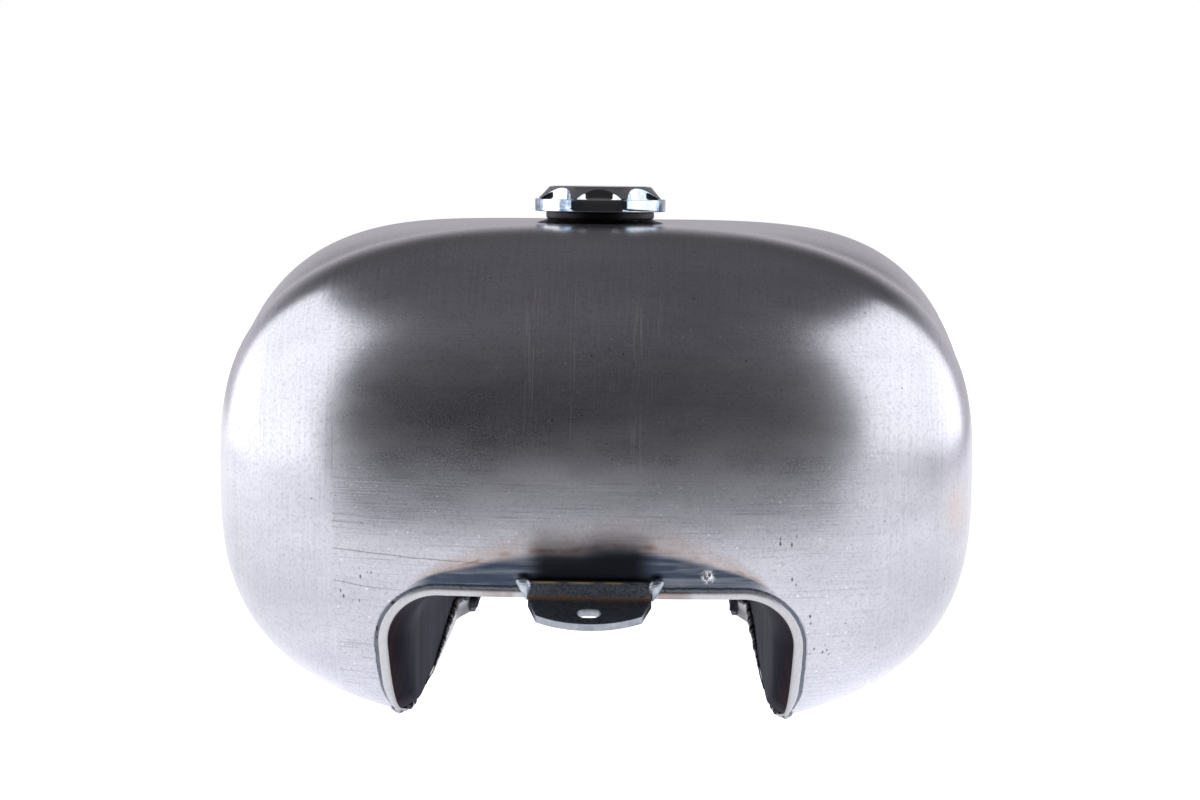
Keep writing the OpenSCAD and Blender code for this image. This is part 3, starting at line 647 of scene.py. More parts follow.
def groove_weld():
    """The thin weld round a mouth: slate blue in its middle, sooty at its edges, straw on its inner side."""
    p = Paint("mouth_weld")
    across = p.attribute("across")
    soft = p.linear(p.noise(520, 3, 0.65), 0.7, p.math("ABSOLUTE", across))
    color = p.blend(p.noise(240, 3, 0.6), (0.090, 0.104, 0.138), (0.20, 0.225, 0.28))
    color = p.blend(p.fade(soft, 1.05, 1.35), color, (0.014, 0.014, 0.018))
    lumps = p.fade(p.noise(190, 2, 0.6), 0.60, 0.66)
    color = p.blend(p.product(lumps, 0.8), color, (0.012, 0.012, 0.015))
    hot = p.product(p.fade(across, -0.35, -0.75), p.fade(p.noise(48, 2, 0.5), 0.58, 0.63), 0.9)
    color = p.blend(hot, color, (0.50, 0.25, 0.085))
    rough = p.linear(soft, 0.15, 0.28)
    return p.finish(color, rough, p.bump(p.noise(700, 3, 0.6), 0.00012, 0.6))


def bracket_steel():
    """Hot-rolled plate: blue-black scale, rusty along its bend, straw along its top edge."""
    p = Paint("bracket_steel", metallic=0.55)
    grit = p.noise(1100, 3, 0.7)
    cloud = p.noise(60, 3, 0.6)
    color = p.blend(p.fade(grit, 0.3, 0.7), (0.018, 0.022, 0.031), (0.12, 0.138, 0.172))
    color = p.blend(p.fade(cloud, 0.42, 0.7, 0.0, 0.6), color, (0.085, 0.105, 0.135))
    ragged = p.linear(p.noise(330, 3, 0.65), 0.8, p.attribute("bend"))
    color = p.blend(p.product(p.fade(ragged, 0.85, 1.15), 0.85), color, (0.20, 0.12, 0.085))
    top = p.product(p.fade(p.attribute("top"), 1.1, 0.2), p.fade(p.noise(60, 2), 0.36, 0.52), 0.95)
    color = p.blend(top, color, (0.50, 0.36, 0.19))
    scuff = p.product(p.fade(p.grain((60, 900, 900), 2, 0.6), 0.64, 0.72), p.fade(cloud, 0.45, 0.6), 0.5)
    flecks = p.either(scuff, p.product(p.dots(520, 0.12, 0.35), 0.7))
    color = p.blend(flecks, color, (0.42, 0.43, 0.46))
    rough = p.linear(grit, 0.22, 0.30)
    return p.finish(color, rough, p.bump(grit, 0.00012, 0.6))


def cut_edge():
    """Sheared and filed edge of a plate."""
    p = Paint("cut_edge")
    file_marks = p.grain((220, 220, 1300), 3, 0.7)
    color = p.blend(p.noise(300, 3, 0.6), (0.16, 0.18, 0.23), (0.58, 0.61, 0.67))
    return p.finish(color, p.linear(file_marks, 0.2, 0.25), p.bump(file_marks, 0.00006, 0.6))


def chrome():
    """Polished chrome, a little hazy, with painted reflections on the cap's side: cloudy blue patches
    between bands of plain chrome.
    """
    p = Paint("polished_chrome")
    haze = p.noise(40, 3, 0.6)
    x, y, _ = p.parts(p.where)[0:3]
    back = p.math("SUBTRACT", y, FILLER_Y * MM)
    radius = p.math("SQRT", p.math("ADD", p.product(x, x), p.product(back, back)))
    across = p.math("DIVIDE", x, radius)
    cloud = p.linear(p.noise(900, 3, 0.7), 0.5, p.noise(120, 2, 0.5))
    # Painted reflections: blue patches, dark to pale, fill the cap's side between bands left plain chrome.
    # They are set by the angle round the cap's axis, so they turn with the cap.
    blue = p.blend(p.fade(cloud, 0.55, 0.95), (0.07, 0.12, 0.22), (0.62, 0.74, 0.90))
    bright = p.either(p.within(across, -0.85, -0.60, 0.03),
                      p.product(p.within(across, 0.50, 0.78, 0.10), 0.8),
                      p.within(across, -0.30, 0.34, 0.12), p.fade(radius, 0.0225, 0.0205))
    color = p.blend(bright, blue, p.blend(haze, (0.83, 0.86, 0.90), (0.90, 0.92, 0.95)))
    return p.finish(color, p.linear(haze, 0.05, 0.035), p.bump(haze, 0.0002, 0.05))


def knurled_chrome():
    """Chrome over a fine knurl of crossed lines."""
    p = Paint("knurled_chrome")
    lines = []
    for slant in (1, -1):
        inputs = (("Vector", p.scaled((slant, 1, 1))), ("Scale", KNURL_SCALE))
        wave_node = p.node("ShaderNodeTexWave", inputs, wave_type="BANDS", bands_direction="DIAGONAL")
        lines.append(wave_node.outputs["Fac"])
    knurl = p.math("MINIMUM", *lines)
    color = p.blend(knurl, (0.34, 0.35, 0.37), (0.80, 0.82, 0.85))
    return p.finish(color, 0.34, p.bump(knurl, 0.00012, 0.5))


def rubber():
    """Black moulded rubber."""
    p = Paint("black_rubber", metallic=0.0)
    grain = p.noise(1500, 3, 0.6)
    p.shader.inputs["Specular IOR Level"].default_value = 0.3
    color = p.blend(grain, (0.004, 0.004, 0.006), (0.010, 0.010, 0.013))
    return p.finish(color, p.linear(grain, 0.15, 0.30), p.bump(grain, 0.00005, 0.4))


def turned_steel(name, dark, light):
    """Lathe-turned steel with fine rings about a vertical axis."""
    p = Paint(name)
    rings = p.grain((60, 60, 2600), 2, 0.6)
    color = p.blend(rings, dark, light)
    return p.finish(color, p.linear(p.noise(90, 3), 0.2, 0.2), p.bump(rings, 0.00004, 0.5))


# ------------------------------------------------------------------ body skins
def make_skins(steel):
    """The two pressed halves. Their lip attribute is the distance from the nearer mouth's weld."""
    g = skin_grid()
    n = grid_normals(g)
    s = columns()
    mx, mz = mouth(True, s, LIP_W)
    lip_front = np.hypot(g[..., 0] - mx, g[..., 2] - mz) + np.maximum(0, g[..., 1] - FRONT_Y)
    rx, rz = mouth(False, s, LIP_W)
    lip_rear = np.hypot(g[..., 0] - rx, g[..., 2] - rz) + np.maximum(0, REAR_Y - g[..., 1])
    lip = np.minimum(lip_front, lip_rear)
    for side, name in ((-1, "left"), (1, "right")):
        at = g * [side, 1, 1]
        rise = WAVE * (wave(at, 46, 3.1) + 0.5 * wave(at, 19, 8.4)) * ease((lip - 2) / 14)
        rise = rise * ease((g[..., 0] - SEAM_HALF) / 14)
        outside = g + n * rise[..., None]
        inside = g - n * SHEET_T
        inside[..., 2] = np.maximum(inside[..., 2], 0.3)
        inside[:, -1, 0] = outside[:, -1, 0] = SEAM_HALF
        points, quads = sheet(outside, inside)
        if side < 0:
            points, quads = mirrored(points, quads)
        piece = make_piece("skin_" + name, points, quads, [steel], lip=np.tile(lip.ravel(), 2))
        cut(piece, [(0, FILLER_Y, BODY_H - 14, BODY_H + 12, HOLE_R),
                    (side * OUTLET_X, OUTLET_Y, -5, 30, OUTLET_R + 0.3)])
        place(piece, "tank", "shell_" + name)
    return g


def make_centre_seam(g, material):
    """Strip of weld between the two skins, along the nose, the top and the tail."""
    line = g[:, -1, 1:]
    clear = HOLE_R + 1
    parts = []
    for keep, end in ((line[:, 0] < FILLER_Y - clear, FILLER_Y - clear),
                      (line[:, 0] > FILLER_Y + clear, FILLER_Y + clear)):
        path = line[keep & (line[:, 1] > 50)]
        stop = np.array([[end, BODY_H]])
        path = np.concatenate([path, stop] if end < FILLER_Y else [stop, path])
        ahead = np.gradient(path, axis=0)
        out = np.stack([-ahead[:, 1], ahead[:, 0]], -1)
        out /= np.linalg.norm(out, axis=-1, keepdims=True)
        section = [(-SEAM_HALF, -SHEET_T), (SEAM_HALF, -SHEET_T), (SEAM_HALF, 0), (-SEAM_HALF, 0)]
        rings = [[(x, p[0] + h * o[0], p[1] + h * o[1]) for x, h in section]
                 for p, o in zip(path, out)]
        parts.append(bar(rings))
    points, quads = join(*parts)
    lip_front = points[:, 2] - MOUTH_H - LIP_W + np.maximum(0, points[:, 1] - FRONT_Y)
    lip_rear = points[:, 2] - REAR_MOUTH_H - LIP_W + np.maximum(0, REAR_Y - points[:, 1])
    lip = np.maximum(np.minimum(lip_front, lip_rear), 0)
    piece = make_piece("centre_seam", points, quads, [material], lip=lip)
    place(piece, "tank", "centre_weld")


# ------------------------------------------------------------------ tunnel
def lip_profile():
    """Rows of (distance over the face, height) across a mouth's rounded lip, outside first."""
    flat = [(o, 0.7 - 0.45 * ((o - 1.8) / 1.8) ** 2) for o in np.linspace(LIP_W - 0.8, 0.5, 8)]
    turn = [(0.5 * (1 - math.sin(a)), -0.8 + 1.26 * math.cos(a)) for a in np.linspace(0.25, math.pi / 2, 6)]
    return flat + turn


def lip_row(front, s, o, high):
    x, z = mouth(front, s, o)
    return over_face(front, x, z, high)


def tunnel_arch(s, y, inset):
    half = tunnel_half(y) - inset
    x, z = arch(s, half, half, TUNNEL_H - inset, TUNNEL_R - inset, TUNNEL_FOOT_Z)
    return np.stack([x, y, z], -1)


def front_tunnel_grid(s):
    rows = [lip_row(True, s, o, h) for o, h in lip_profile()]
    rim = rows[-1]
    stop = np.maximum(FLARE_END, rim[:, 1] + FLARE_LEAST)
    section = tunnel_arch(s, np.full_like(s, NOSE_Y), 0)
    for v in np.linspace(0, 1, 27)[1:]:
        row = mix(rim, section, 1 - (1 - v) ** 2.6)
        row[:, 1] = mix(rim[:, 1], stop, v)
        rows.append(row)
    rows += [tunnel_arch(s, mix(stop, JOINT_Y, t), 0) for t in np.linspace(0, 1, 33)[1:]]
    return np.array(rows)


def rear_tunnel_grid(s):
    lips = [lip_row(False, s, o, h) for o, h in lip_profile()][::-1]
    stop = lips[0][:, 1] - 6
    half = TUNNEL_REAR_W / 2 - REAR_INSET
    sx, sz = arch(s, half, half, TUNNEL_H - REAR_INSET, TUNNEL_R - REAR_INSET, TUNNEL_FOOT_Z)
    mx, mz = mouth(False, s, 0)
    rows = []
    for t in np.linspace(0, 1, 41):
        low = mix(TUNNEL_FOOT_Z, TIP_Z + 0.6, ease(t))
        share = ease((t - 0.6) / 0.4)
        rows.append(np.stack([mix(sx, mx, share), mix(JOINT_Y - LAP, stop, t),
                              mix(sz, np.maximum(mz, low), share)], -1))
    return np.array(rows + lips)


def make_tunnel(name, half, lip_first, node, lip_metal, mill):
    """One tunnel sheet with its lip. Its lip attribute is the distance behind the lip's inner edge."""
    g = whole(half)
    rim = len(lip_profile()) - 1
    rows, cols = g.shape[:2]
    n = grid_normals(g)
    wavy = 0.25 * wave(g, 30, 5.5)
    lip_rows = np.arange(rows) <= rim if lip_first else np.arange(rows) >= rows - 1 - rim
    wavy[lip_rows] = 0
    inside = g + n * wavy[..., None]
    points, quads = sheet(inside, g - n * SHEET_T)
    row_of = np.repeat(np.arange(rows - 1), cols - 1)
    on_lip = row_of < rim if lip_first else row_of >= rows - 1 - rim
    indices = np.ones(len(quads), int)
    indices[:len(on_lip)] = np.where(on_lip, 0, 1)
    edge = g[rim] if lip_first else g[-1 - rim]
    lip = np.abs(g[..., 1] - edge[:, 1])
    piece = make_piece(name, points, quads, [lip_metal, mill], indices, lip=np.tile(lip.ravel(), 2))
    place(piece, "tank", node)


def make_joint_bead(material):
    """Lumpy fillet inside the tunnel where its rear sheet starts."""
    s = np.linspace(0, 1, 140)
    y = np.full_like(s, JOINT_Y - LAP)
    rings = []
    shape = [(-1.7, 0.0), (-1.3, 0.8), (-0.5, 1.6), (0.3, 1.8), (0.5, 1.2), (0.4, 0.1)]
    swell = mix(2.1, 1.0, ease(s / 0.16))
    for dy, inset in shape:
        rings.append(whole(tunnel_arch(s, y + dy * swell, inset * swell)))
    rings = np.array(rings).transpose(1, 0, 2)
    lump = 0.45 * wave(rings[:, 2], 4, 2.2)
    middle = rings.mean(1, keepdims=True)
    rings = middle + (rings - middle) * (1 + lump[:, None, None])
    make_weld("joint_bead", "tunnel_joint_weld", *bar(rings[:, ::-1]), [material])


def bead_width(s, side, front):
    """Half width of the weld round a mouth, for s from 0 at its foot to 1 at its crown."""
    wide_at, wide_l = (0.21, 0.09) if side < 0 else (0.10, 0.07)
    wide = np.exp(-((s - wide_at) / wide_l) ** 2)
    roof = ease((s - 0.56) / 0.1)
    return 0.76 + (0.40 * wide + 0.12 * roof if front else 0.1)


def make_mouth_bead(name, front, node, material):
    """Thin uneven weld between a lip and the skin."""
    s = np.linspace(0.008, 1, 900)
    flat = np.stack([s * 400, s * 0, s * 0], -1)
    halves = []
    foot = ease((s - 0.008) / 0.05)
    for side in (-1, 1):
        wander = 0.24 * wave(flat, 9, 4.0 + side) + 0.14 * wave(flat, 2.2, 1.0 + side)
        uneven = 0.16 * wave(flat, 4, 9.0 + side) + 0.12 * wave(flat, 1.3, 6.0 + side)
        width = bead_width(s, side, front) + uneven
        width = np.clip(width, 0.52, 1.3) * mix(0.5, 1, foot)
        wander = wander * foot
        if front and side < 0:
            wander = wander - 0.4 * ease((0.165 - s) / 0.012)
        if front and side > 0:
            hump = 0.2 * np.exp(-((s - 0.2) / 0.03) ** 2)
            wander = wander - 0.3 * ease((0.055 - s) / 0.02) + hump
        rings = []
        for k in np.linspace(-1, 1, 9):
            x, z = mouth(front, s, LIP_W - 0.4 + wander + k * width)
            rings.append(over_face(front, x, z, np.full_like(s, 0.12 - 0.16 * k + 0.2 * np.sqrt(1 - k * k))))
        x, z = mouth(front, s, LIP_W - 0.4 + wander)
        rings.append(over_face(front, x, z, np.full_like(s, -0.7)))
        rings = np.array(rings).transpose(1, 0, 2)
        rings[..., 2] = np.maximum(rings[..., 2], 0.6)
        halves.append(rings)
    left = halves[0] * [-1, 1, 1]
    left[-1, :, 0] = 0
    rings = np.concatenate([left, halves[1][-2::-1]])
    across = np.tile([*np.linspace(-1, 1, 9), 0], len(rings))
    if front:
        rings = rings[:, ::-1]
        across = np.tile([0, *np.linspace(1, -1, 9)], len(rings))
    make_weld(name, node, *bar(rings), [material], sharp=70, across=across)


def make_seam(side, name, strip_metal, bead_metal, mill):
    """The skin's edge turned up inside the tunnel, and the rough weld along the top of it."""
    y = np.linspace(SEAM_START, REAR_Y - 6, 520)
    line = np.stack([y * 0, y, y * 0], -1)
    grow = ease((y - SEAM_START) / 150)
    foot = mix(TUNNEL_FOOT_Z + 0.1, 0.9, ease((y - SEAM_START) / 40))
    high = mix(0.5, 9.5, grow) + 0.7 * grow * wave(line, 14, 1.3)
    inner = np.where(y < JOINT_Y - LAP, tunnel_half(y), TUNNEL_REAR_W / 2 - REAR_INSET)
    rings = []
    section = ((0.0, 1.0), (0.5, 1.0), (0.9, 0.93), (0.9, 0.5), (0.8, 0.12), (0.3, 0.0),
               (-1.2, 0.0), (-1.4, 0.1))
    for inset, share in section:
        rings.append(np.stack([inner - inset * mix(0.3, 1, grow), y, foot + high * share], -1))
    strip = bar(np.array(rings).transpose(1, 0, 2))
    r = 1.35 + 0.9 * wave(line, 2.6, 7.7 + side) + 0.7 * wave(line, 7, 3.7 + side)
    r = np.clip(r, 0.5, 2.6) * mix(0.12, 1, ease((y - SEAM_START - 22) / 90))
    rings = []
    for a in np.linspace(0, 2 * math.pi, 10, endpoint=False):
        rings.append(np.stack([inner - 0.35 + r * math.cos(a), y, foot + high + r * 1.3 * math.sin(a)], -1))
    bead = bar(np.array(rings).transpose(1, 0, 2)[:, ::-1])
    points, quads = join(strip, bead)
    points[:, 2] = np.maximum(points[:, 2], 0.3)
    behind = [2 if points[f[0]][1] > JOINT_Y - LAP else 0 for f in strip[1]]
    indices = behind + [1] * len(bead[1])
    if side < 0:
        points, quads = mirrored(points, quads)
    make_weld("seam_" + name, "seam_weld_" + name, points, quads, [strip_metal, bead_metal, mill],
              indices, lip=np.full(len(points), 99))


# ------------------------------------------------------------------ brackets
BRACKET_W, BRACKET_T, TAB_FRONT_W, UPRIGHT_H = 47, 3.2, 40, 6
BEND_R = 1
TAB_L, TAB_SLOPE = 19, 17
SLOT_L, SLOT_W, SLOT_V = 9, 7, 10.4
FRONT_PLATE_Y = NOSE_Y + 0.8
UPRIGHT_LOW = MOUTH_H + 1.3
REAR_PLATE_Y = TAIL_Y + 0.9
REAR_UPRIGHT_LOW = REAR_MOUTH_H + 3.4
BEAD_R = 2.5
REAR_HOLE_R = 4.25


def arc_points(cx, cy, r, a0, a1, steps):
    return [(cx + r * math.cos(a), cy + r * math.sin(a)) for a in np.linspace(a0, a1, steps)]


def tab_outline(long, bend_l):
    """Flat pattern of a bracket, from the upright's top edge at v < 0 to the tab's tip."""
    half, end = BRACKET_W / 2, TAB_FRONT_W / 2
    top = -(bend_l + UPRIGHT_H)
    side = long * 0.66
    bulge = long - side
    r = (end ** 2 + bulge ** 2) / (2 * bulge)
    swing = math.asin(end / r)
    tip = arc_points(0, long - r, r, math.pi / 2 - swing, math.pi / 2 + swing, 33)
    corner = 1.0
    low = [(half - corner, top), (half, top + corner), (half, 0)]
    return low + tip + [(-x, v) for x, v in low[::-1]]


def plate_mesh(loop, holes, thick, bevel):
    """Flat plate with rounded edges from an outline and holes, as a bmesh, in millimetres."""
    curve = bpy.data.curves.new("pattern", "CURVE")
    curve.dimensions, curve.fill_mode = "2D", "BOTH"
    curve.extrude, curve.bevel_depth, curve.bevel_resolution = thick / 2 - bevel, bevel, 2
    curve.offset = -bevel
    for points in [loop] + holes:
        spline = curve.splines.new("POLY")
        spline.points.add(len(points) - 1)
        for p, (x, v) in zip(spline.points, points):
            p.co = (x, v, 0, 1)
        spline.use_cyclic_u = True
    maker = add_object("pattern", curve)
    bpy.context.view_layer.update()
    bm = bmesh.new()
    bm.from_mesh(evaluated_mesh(maker))
    bpy.data.objects.remove(maker)
    bmesh.ops.remove_doubles(bm, verts=bm.verts, dist=0.004)
    return bm


def slice_plate(bm, levels):
    for v in levels:
        bmesh.ops.bisect_plane(bm, geom=bm.verts[:] + bm.edges[:] + bm.faces[:], dist=1e-4,
                               plane_co=(0, v, 0), plane_no=(0, 1, 0))
    bmesh.ops.triangulate(bm, faces=[f for f in bm.faces if len(f.verts) > 4])
    bmesh.ops.recalc_face_normals(bm, faces=bm.faces)


def bent_points(flat, angle, bend_l, axis, forward):
    """Folds a flat plate: v runs down the upright, round the bend and out along the tab."""
    x, v, w = flat[:, 0], flat[:, 1], flat[:, 2]
    rad = BEND_R + BRACKET_T / 2
    t = np.clip((v + bend_l) / bend_l, 0, 1) * angle
    r = rad - w
    # heights are from the upright's lower end, and both are from the bend's axis
    py = rad - r * np.cos(t) - rad
    pz = -r * np.sin(t)
    tail = np.maximum(v, 0)
    head = np.maximum(-bend_l - v, 0)
    py = py + tail * math.sin(angle)
    pz = pz - tail * math.cos(angle) + head
    return np.stack([x, axis[0] + forward * py, axis[1] + pz], -1)


def make_bracket(name, node, plate_y, low, forward, slope, tab_l, holes, materials):
    angle = math.radians(90 - slope)
    bend_l = angle * (BEND_R + BRACKET_T / 2)
    bm = plate_mesh(tab_outline(tab_l, bend_l), holes, BRACKET_T, 0.35)
    near_bend = (1, 2, 3.5)
    slice_plate(bm, [-bend_l * k / 8 for k in range(9)] + [*near_bend, *(-bend_l - v for v in near_bend)])
    flat = np.array([v.co for v in bm.verts])
    edges = [abs(f.normal.z) < 0.6 for f in bm.faces]
    axis_y = plate_y + forward * (BRACKET_T + BEND_R)
    folded = bent_points(flat, angle, bend_l, (axis_y, low), forward)
    bent = 1 - np.abs(flat[:, 1] + bend_l / 2) / 5.5
    quads = [[v.index for v in f.verts] for f in bm.faces]
    bm.free()
    if forward < 0:
        quads = [q[::-1] for q in quads]
    piece = make_piece(name, folded, quads, materials, [1 if e else 0 for e in edges], sharp=40,
                       bend=np.clip(bent, 0, 1), top=flat[:, 1] - flat[:, 1].min())
    place(piece, "tank", node)


def slot_loop():
    run, r = (SLOT_L - SLOT_W) / 2, SLOT_W / 2
    right = arc_points(run, SLOT_V, r, -math.pi / 2, math.pi / 2, 17)
    return right + arc_points(-run, SLOT_V, r, math.pi / 2, 1.5 * math.pi, 17)


def make_bracket_beads(name, node, y, low, material):
    """Fish-scale wedges of weld that hold a bracket's two ends to the lip, widest near their tops."""
    parts = []
    around = np.linspace(0, 2 * math.pi, 28, endpoint=False)
    scales = 9
    for side in (-1, 1):
        rings = []
        for k in np.linspace(0, 1, 73):
            step = (k * scales) % 1
            r = (0.12 + 1.12 * BEAD_R * k ** 0.9 * math.sqrt(1 - 0.97 * k ** 5)) * (1 + 0.05 * (0.5 - step))
            z = low - BEAD_R / 2 + (UPRIGHT_H + BEAD_R) * k
            out = 1.5 * r * np.cos(around)
            tilt = 0.4 * out * 0.6 * math.sin(math.pi * k)
            cx = side * (BRACKET_W / 2 + BEAD_R * mix(0.15, 0.85, k))
            rings.append(np.stack([cx + side * out, y - r * np.sin(around), z + tilt], -1))
        parts.append(bar(np.array(rings)[:, ::-side]))
    make_weld(name, node, *join(*parts), [material], sharp=70)


# ------------------------------------------------------------------ filler and cap
CAP_R, CAP_TOP_R = 27.5, 21.0
RIM_UP, GASKET_T = 1.85, 3
FLANGE_Z = BODY_H + RIM_UP + GASKET_T + 0.1
PLUG_LOW, THREAD_START = BODY_H - 12, BODY_H - 11
CHAMBER_R, POST_R, CHAMBER_TOP = 3, 6, BODY_H + 3
EDGE_TOP = FLANGE_Z + 5.1
CAP_TOP = EDGE_TOP + 5.4
SCALLOPS, SCALLOP_R, SCALLOP_C = 8, 13, 35
PLUG_R = NECK_R - 1.5
VENT_R = 0.8
KNURLED_ROWS = range(10, 15)  # of the rows down the outside of the cap


def make_filler_bead(material):
    r = NECK_R + RIM_T + 0.05
    z = BODY_H
    profile = [(r, z - 0.2), (r, z + 1.5), (r + 0.5, z + 1.05), (r + 1.4, z + 0.75), (r + 2.6, z + 0.5),
               (r + 3.4, z + 0.22), (r + 3.9, z + 0.02), (r + 3.9, z - 0.2)]
    points, quads = revolve(profile[::-1], 256, (0, FILLER_Y))
    lift = 0.18 * wave(points, 3.5, 2.0)
    points[:, 2] += np.where(points[:, 2] > z + 0.1, lift, 0)
    make_weld("filler_bead", "filler_weld", points, quads, [material])


def make_gasket(material):
    z = BODY_H + 1.9
    inner, outer = PLUG_R + 0.4, NECK_R + 1.8
    side = [(outer - 0.35 + 0.35 * math.sin(a), z + 1.5 - 1.45 * math.cos(a))
            for a in np.linspace(0, math.pi, 15)]
    profile = [(inner, z + 0.05), *side, (inner, z + 2.95)]
    piece = make_piece("gasket_ring", *revolve(profile, 192, (0, FILLER_Y)), [material], sharp=40)
    place(piece, "gasket", "cap_gasket")


def scallop_edge(phi):
    """Radius where a scallop's wall stands, at an angle from the scallop's middle."""
    inside = np.maximum(SCALLOP_R ** 2 - (SCALLOP_C * np.sin(phi)) ** 2, 0)
    wall = SCALLOP_C * np.cos(phi) - np.sqrt(inside)
    open_half = math.acos((SCALLOP_C ** 2 + CAP_R ** 2 - SCALLOP_R ** 2) / (2 * SCALLOP_C * CAP_R))
    return np.where(np.abs(phi) < open_half, np.minimum(wall, CAP_R - 0.35), CAP_R - 0.35)


def cap_slope(r):
    """Height of the cap's knurled slope at a radius."""
    return CAP_TOP - (r - CAP_TOP_R) / (CAP_R - CAP_TOP_R) * (CAP_TOP - EDGE_TOP)


def cap_crown_rows(theta):
    """Rows of (radii, heights) down the outside of the cap, one value for each angle round it."""
    step = 2 * math.pi / SCALLOPS
    phi = (theta + math.pi / 2 + step / 2) % step - step / 2
    wall = scallop_edge(phi)
    one = np.ones_like(theta)
    rows = [(one * r, one * CAP_TOP) for r in (VENT_R + 0.25, 4, 9, 14, 18, CAP_TOP_R - 0.45)]
    for a in (0.25, 0.5, 0.75, 1.0):
        rows.append((one * (CAP_TOP_R - 0.45 + 0.5 * a), one * (CAP_TOP - 0.34 * a * a)))
    first = CAP_TOP_R + 0.1
    for t in (0.08, 0.3, 0.55, 0.8, 1.0):
        r = mix(first, wall - 0.18, t)
        rows.append((r, cap_slope(r)))
    top = cap_slope(wall - 0.18)
    drop = np.maximum(top - EDGE_TOP, 0)
    wall_rows = ((0.08, 0.03), (0.15, 0.09), (0.18, 0.2), (0.18, 0.5), (0.18, 0.8), (0.24, 0.93), (0.4, 1.0))
    for dr, share in wall_rows:
        rows.append((np.minimum(wall - 0.18 + dr, CAP_R - 0.33), top - drop * share))
    for t in (0.35, 0.7, 1.0):
        rows.append((mix(np.minimum(wall + 0.22, CAP_R - 0.33), CAP_R - 0.32, t), one * EDGE_TOP))
    for a in np.linspace(0, math.pi / 2, 5)[1:]:
        rows.append((one * (CAP_R - 0.3 + 0.3 * math.sin(a)), one * (EDGE_TOP - 0.3 + 0.3 * math.cos(a))))
    return rows


def make_cap(shine, knurl):
    columns_each = 64
    theta = np.linspace(0, 2 * math.pi, SCALLOPS * columns_each, endpoint=False)
    one = np.ones_like(theta)
    rows = cap_crown_rows(theta)
    rows.append((one * CAP_R, one * (FLANGE_Z + 2.5)))
    for a in np.linspace(0, math.pi / 2, 5):
        rows.append((one * (CAP_R - 0.4 + 0.4 * math.cos(a)), one * (FLANGE_Z + 0.4 - 0.4 * math.sin(a))))
    for r, z in [(PLUG_R + 0.3, FLANGE_Z), (PLUG_R, FLANGE_Z - 0.3), (PLUG_R, PLUG_LOW + 0.5),
                 (PLUG_R - 0.5, PLUG_LOW), (PLUG_R - 4, PLUG_LOW), (PLUG_R - 4, BODY_H), (POST_R, BODY_H),
                 (POST_R, PLUG_LOW), (CHAMBER_R, PLUG_LOW), (CHAMBER_R, CHAMBER_TOP),
                 (VENT_R, CHAMBER_TOP + 2.2), (VENT_R, CAP_TOP - 0.25)]:
        rows.append((one * r, one * z))
    r = np.array([row[0] for row in rows])
    z = np.array([row[1] for row in rows])
    rings = np.stack([r * np.cos(theta), FILLER_Y + r * np.sin(theta), z], -1)
    body = bar(rings.transpose(1, 0, 2)[:, ::-1], closed=True)
    sides = len(rows)
    flipped_rows = [sides - 2 - k for k in KNURLED_ROWS]
    indices = [1 if (k % sides) in flipped_rows else 0 for k in range(len(body[1]))]
    ridge = thread_ridge(PLUG_R - 0.15, PLUG_R + 1.2, THREAD_START)
    points, quads = join(body, ridge)
    indices += [0] * len(ridge[1])
    piece = make_piece("cap_crown", points, quads, [shine, knurl], indices, sharp=28)
    place(piece, "cap", "cap_body")


def thread_ridge(root, crest, start):
    """Helical ridge of one and a quarter turns."""
    rings = []
    for a in np.linspace(0, 2.5 * math.pi, 121):
        c, s, z = math.cos(a), math.sin(a), start + THREAD_PITCH * a / (2 * math.pi)
        rings.append([(r * c, FILLER_Y + r * s, z + dz)
                      for r, dz in ((root, -0.8), (crest, -0.4), (crest, 0.4), (root, 0.8))])
    return bar(rings)


def make_outlet_beads(material):
    for side, name in ((-1, "left"), (1, "right")):
        rings = []
        for a in np.linspace(0, 2 * math.pi, 96, endpoint=False):
            lump = 1 + 0.12 * math.sin(9 * a) + 0.06 * math.sin(23 * a)
            ring = []
            section = ((0.1, -1.2), (1.2 * lump, -0.9), (2.1 * lump, -0.2), (2.3 * lump, 0.5), (0.1, 0.5))
            for k, (dr, dz) in enumerate(section):
                r = OUTLET_R + 0.1 + dr
                x, y = OUTLET_X + r * math.cos(a), OUTLET_Y + r * math.sin(a)
                z = WAIST_Z - down(y) * drop_share(x, y) - 0.4
                ring.append((x, y, max(float(z) + dz, 0.15 + 0.05 * k)))
            rings.append(ring)
        points, quads = bar(rings, closed=True)
        if side < 0:
            points, quads = mirrored(points, quads)
        make_weld("outlet_bead_" + name, "outlet_weld_" + name, points, quads, [material])


# ------------------------------------------------------------------ stage
LENS = 74.05
CAMERA_AT = (0.0218, -1.1831, 0.2243)
CAMERA_YAW, CAMERA_PITCH, CAMERA_ROLL = 1.154, 5.437, 0.598
TABLE_FRONT = -0.70


def make_camera():
    data = bpy.data.cameras.new("camera")
    data.lens, data.sensor_width = LENS, 36
    camera = add_object("camera", data)
    camera.location = CAMERA_AT
    camera.rotation_mode = "XYZ"
    yaw, pitch, roll = (math.radians(a) for a in (CAMERA_YAW, CAMERA_PITCH, CAMERA_ROLL))
    look = Vector((-math.sin(yaw) * math.cos(pitch), math.cos(yaw) * math.cos(pitch), -math.sin(pitch)))
    turn = look.to_track_quat("-Z", "Y").to_matrix()
    camera.rotation_euler = (turn @ Matrix.Rotation(roll, 3, "Z")).to_euler()
    bpy.context.scene.camera = camera


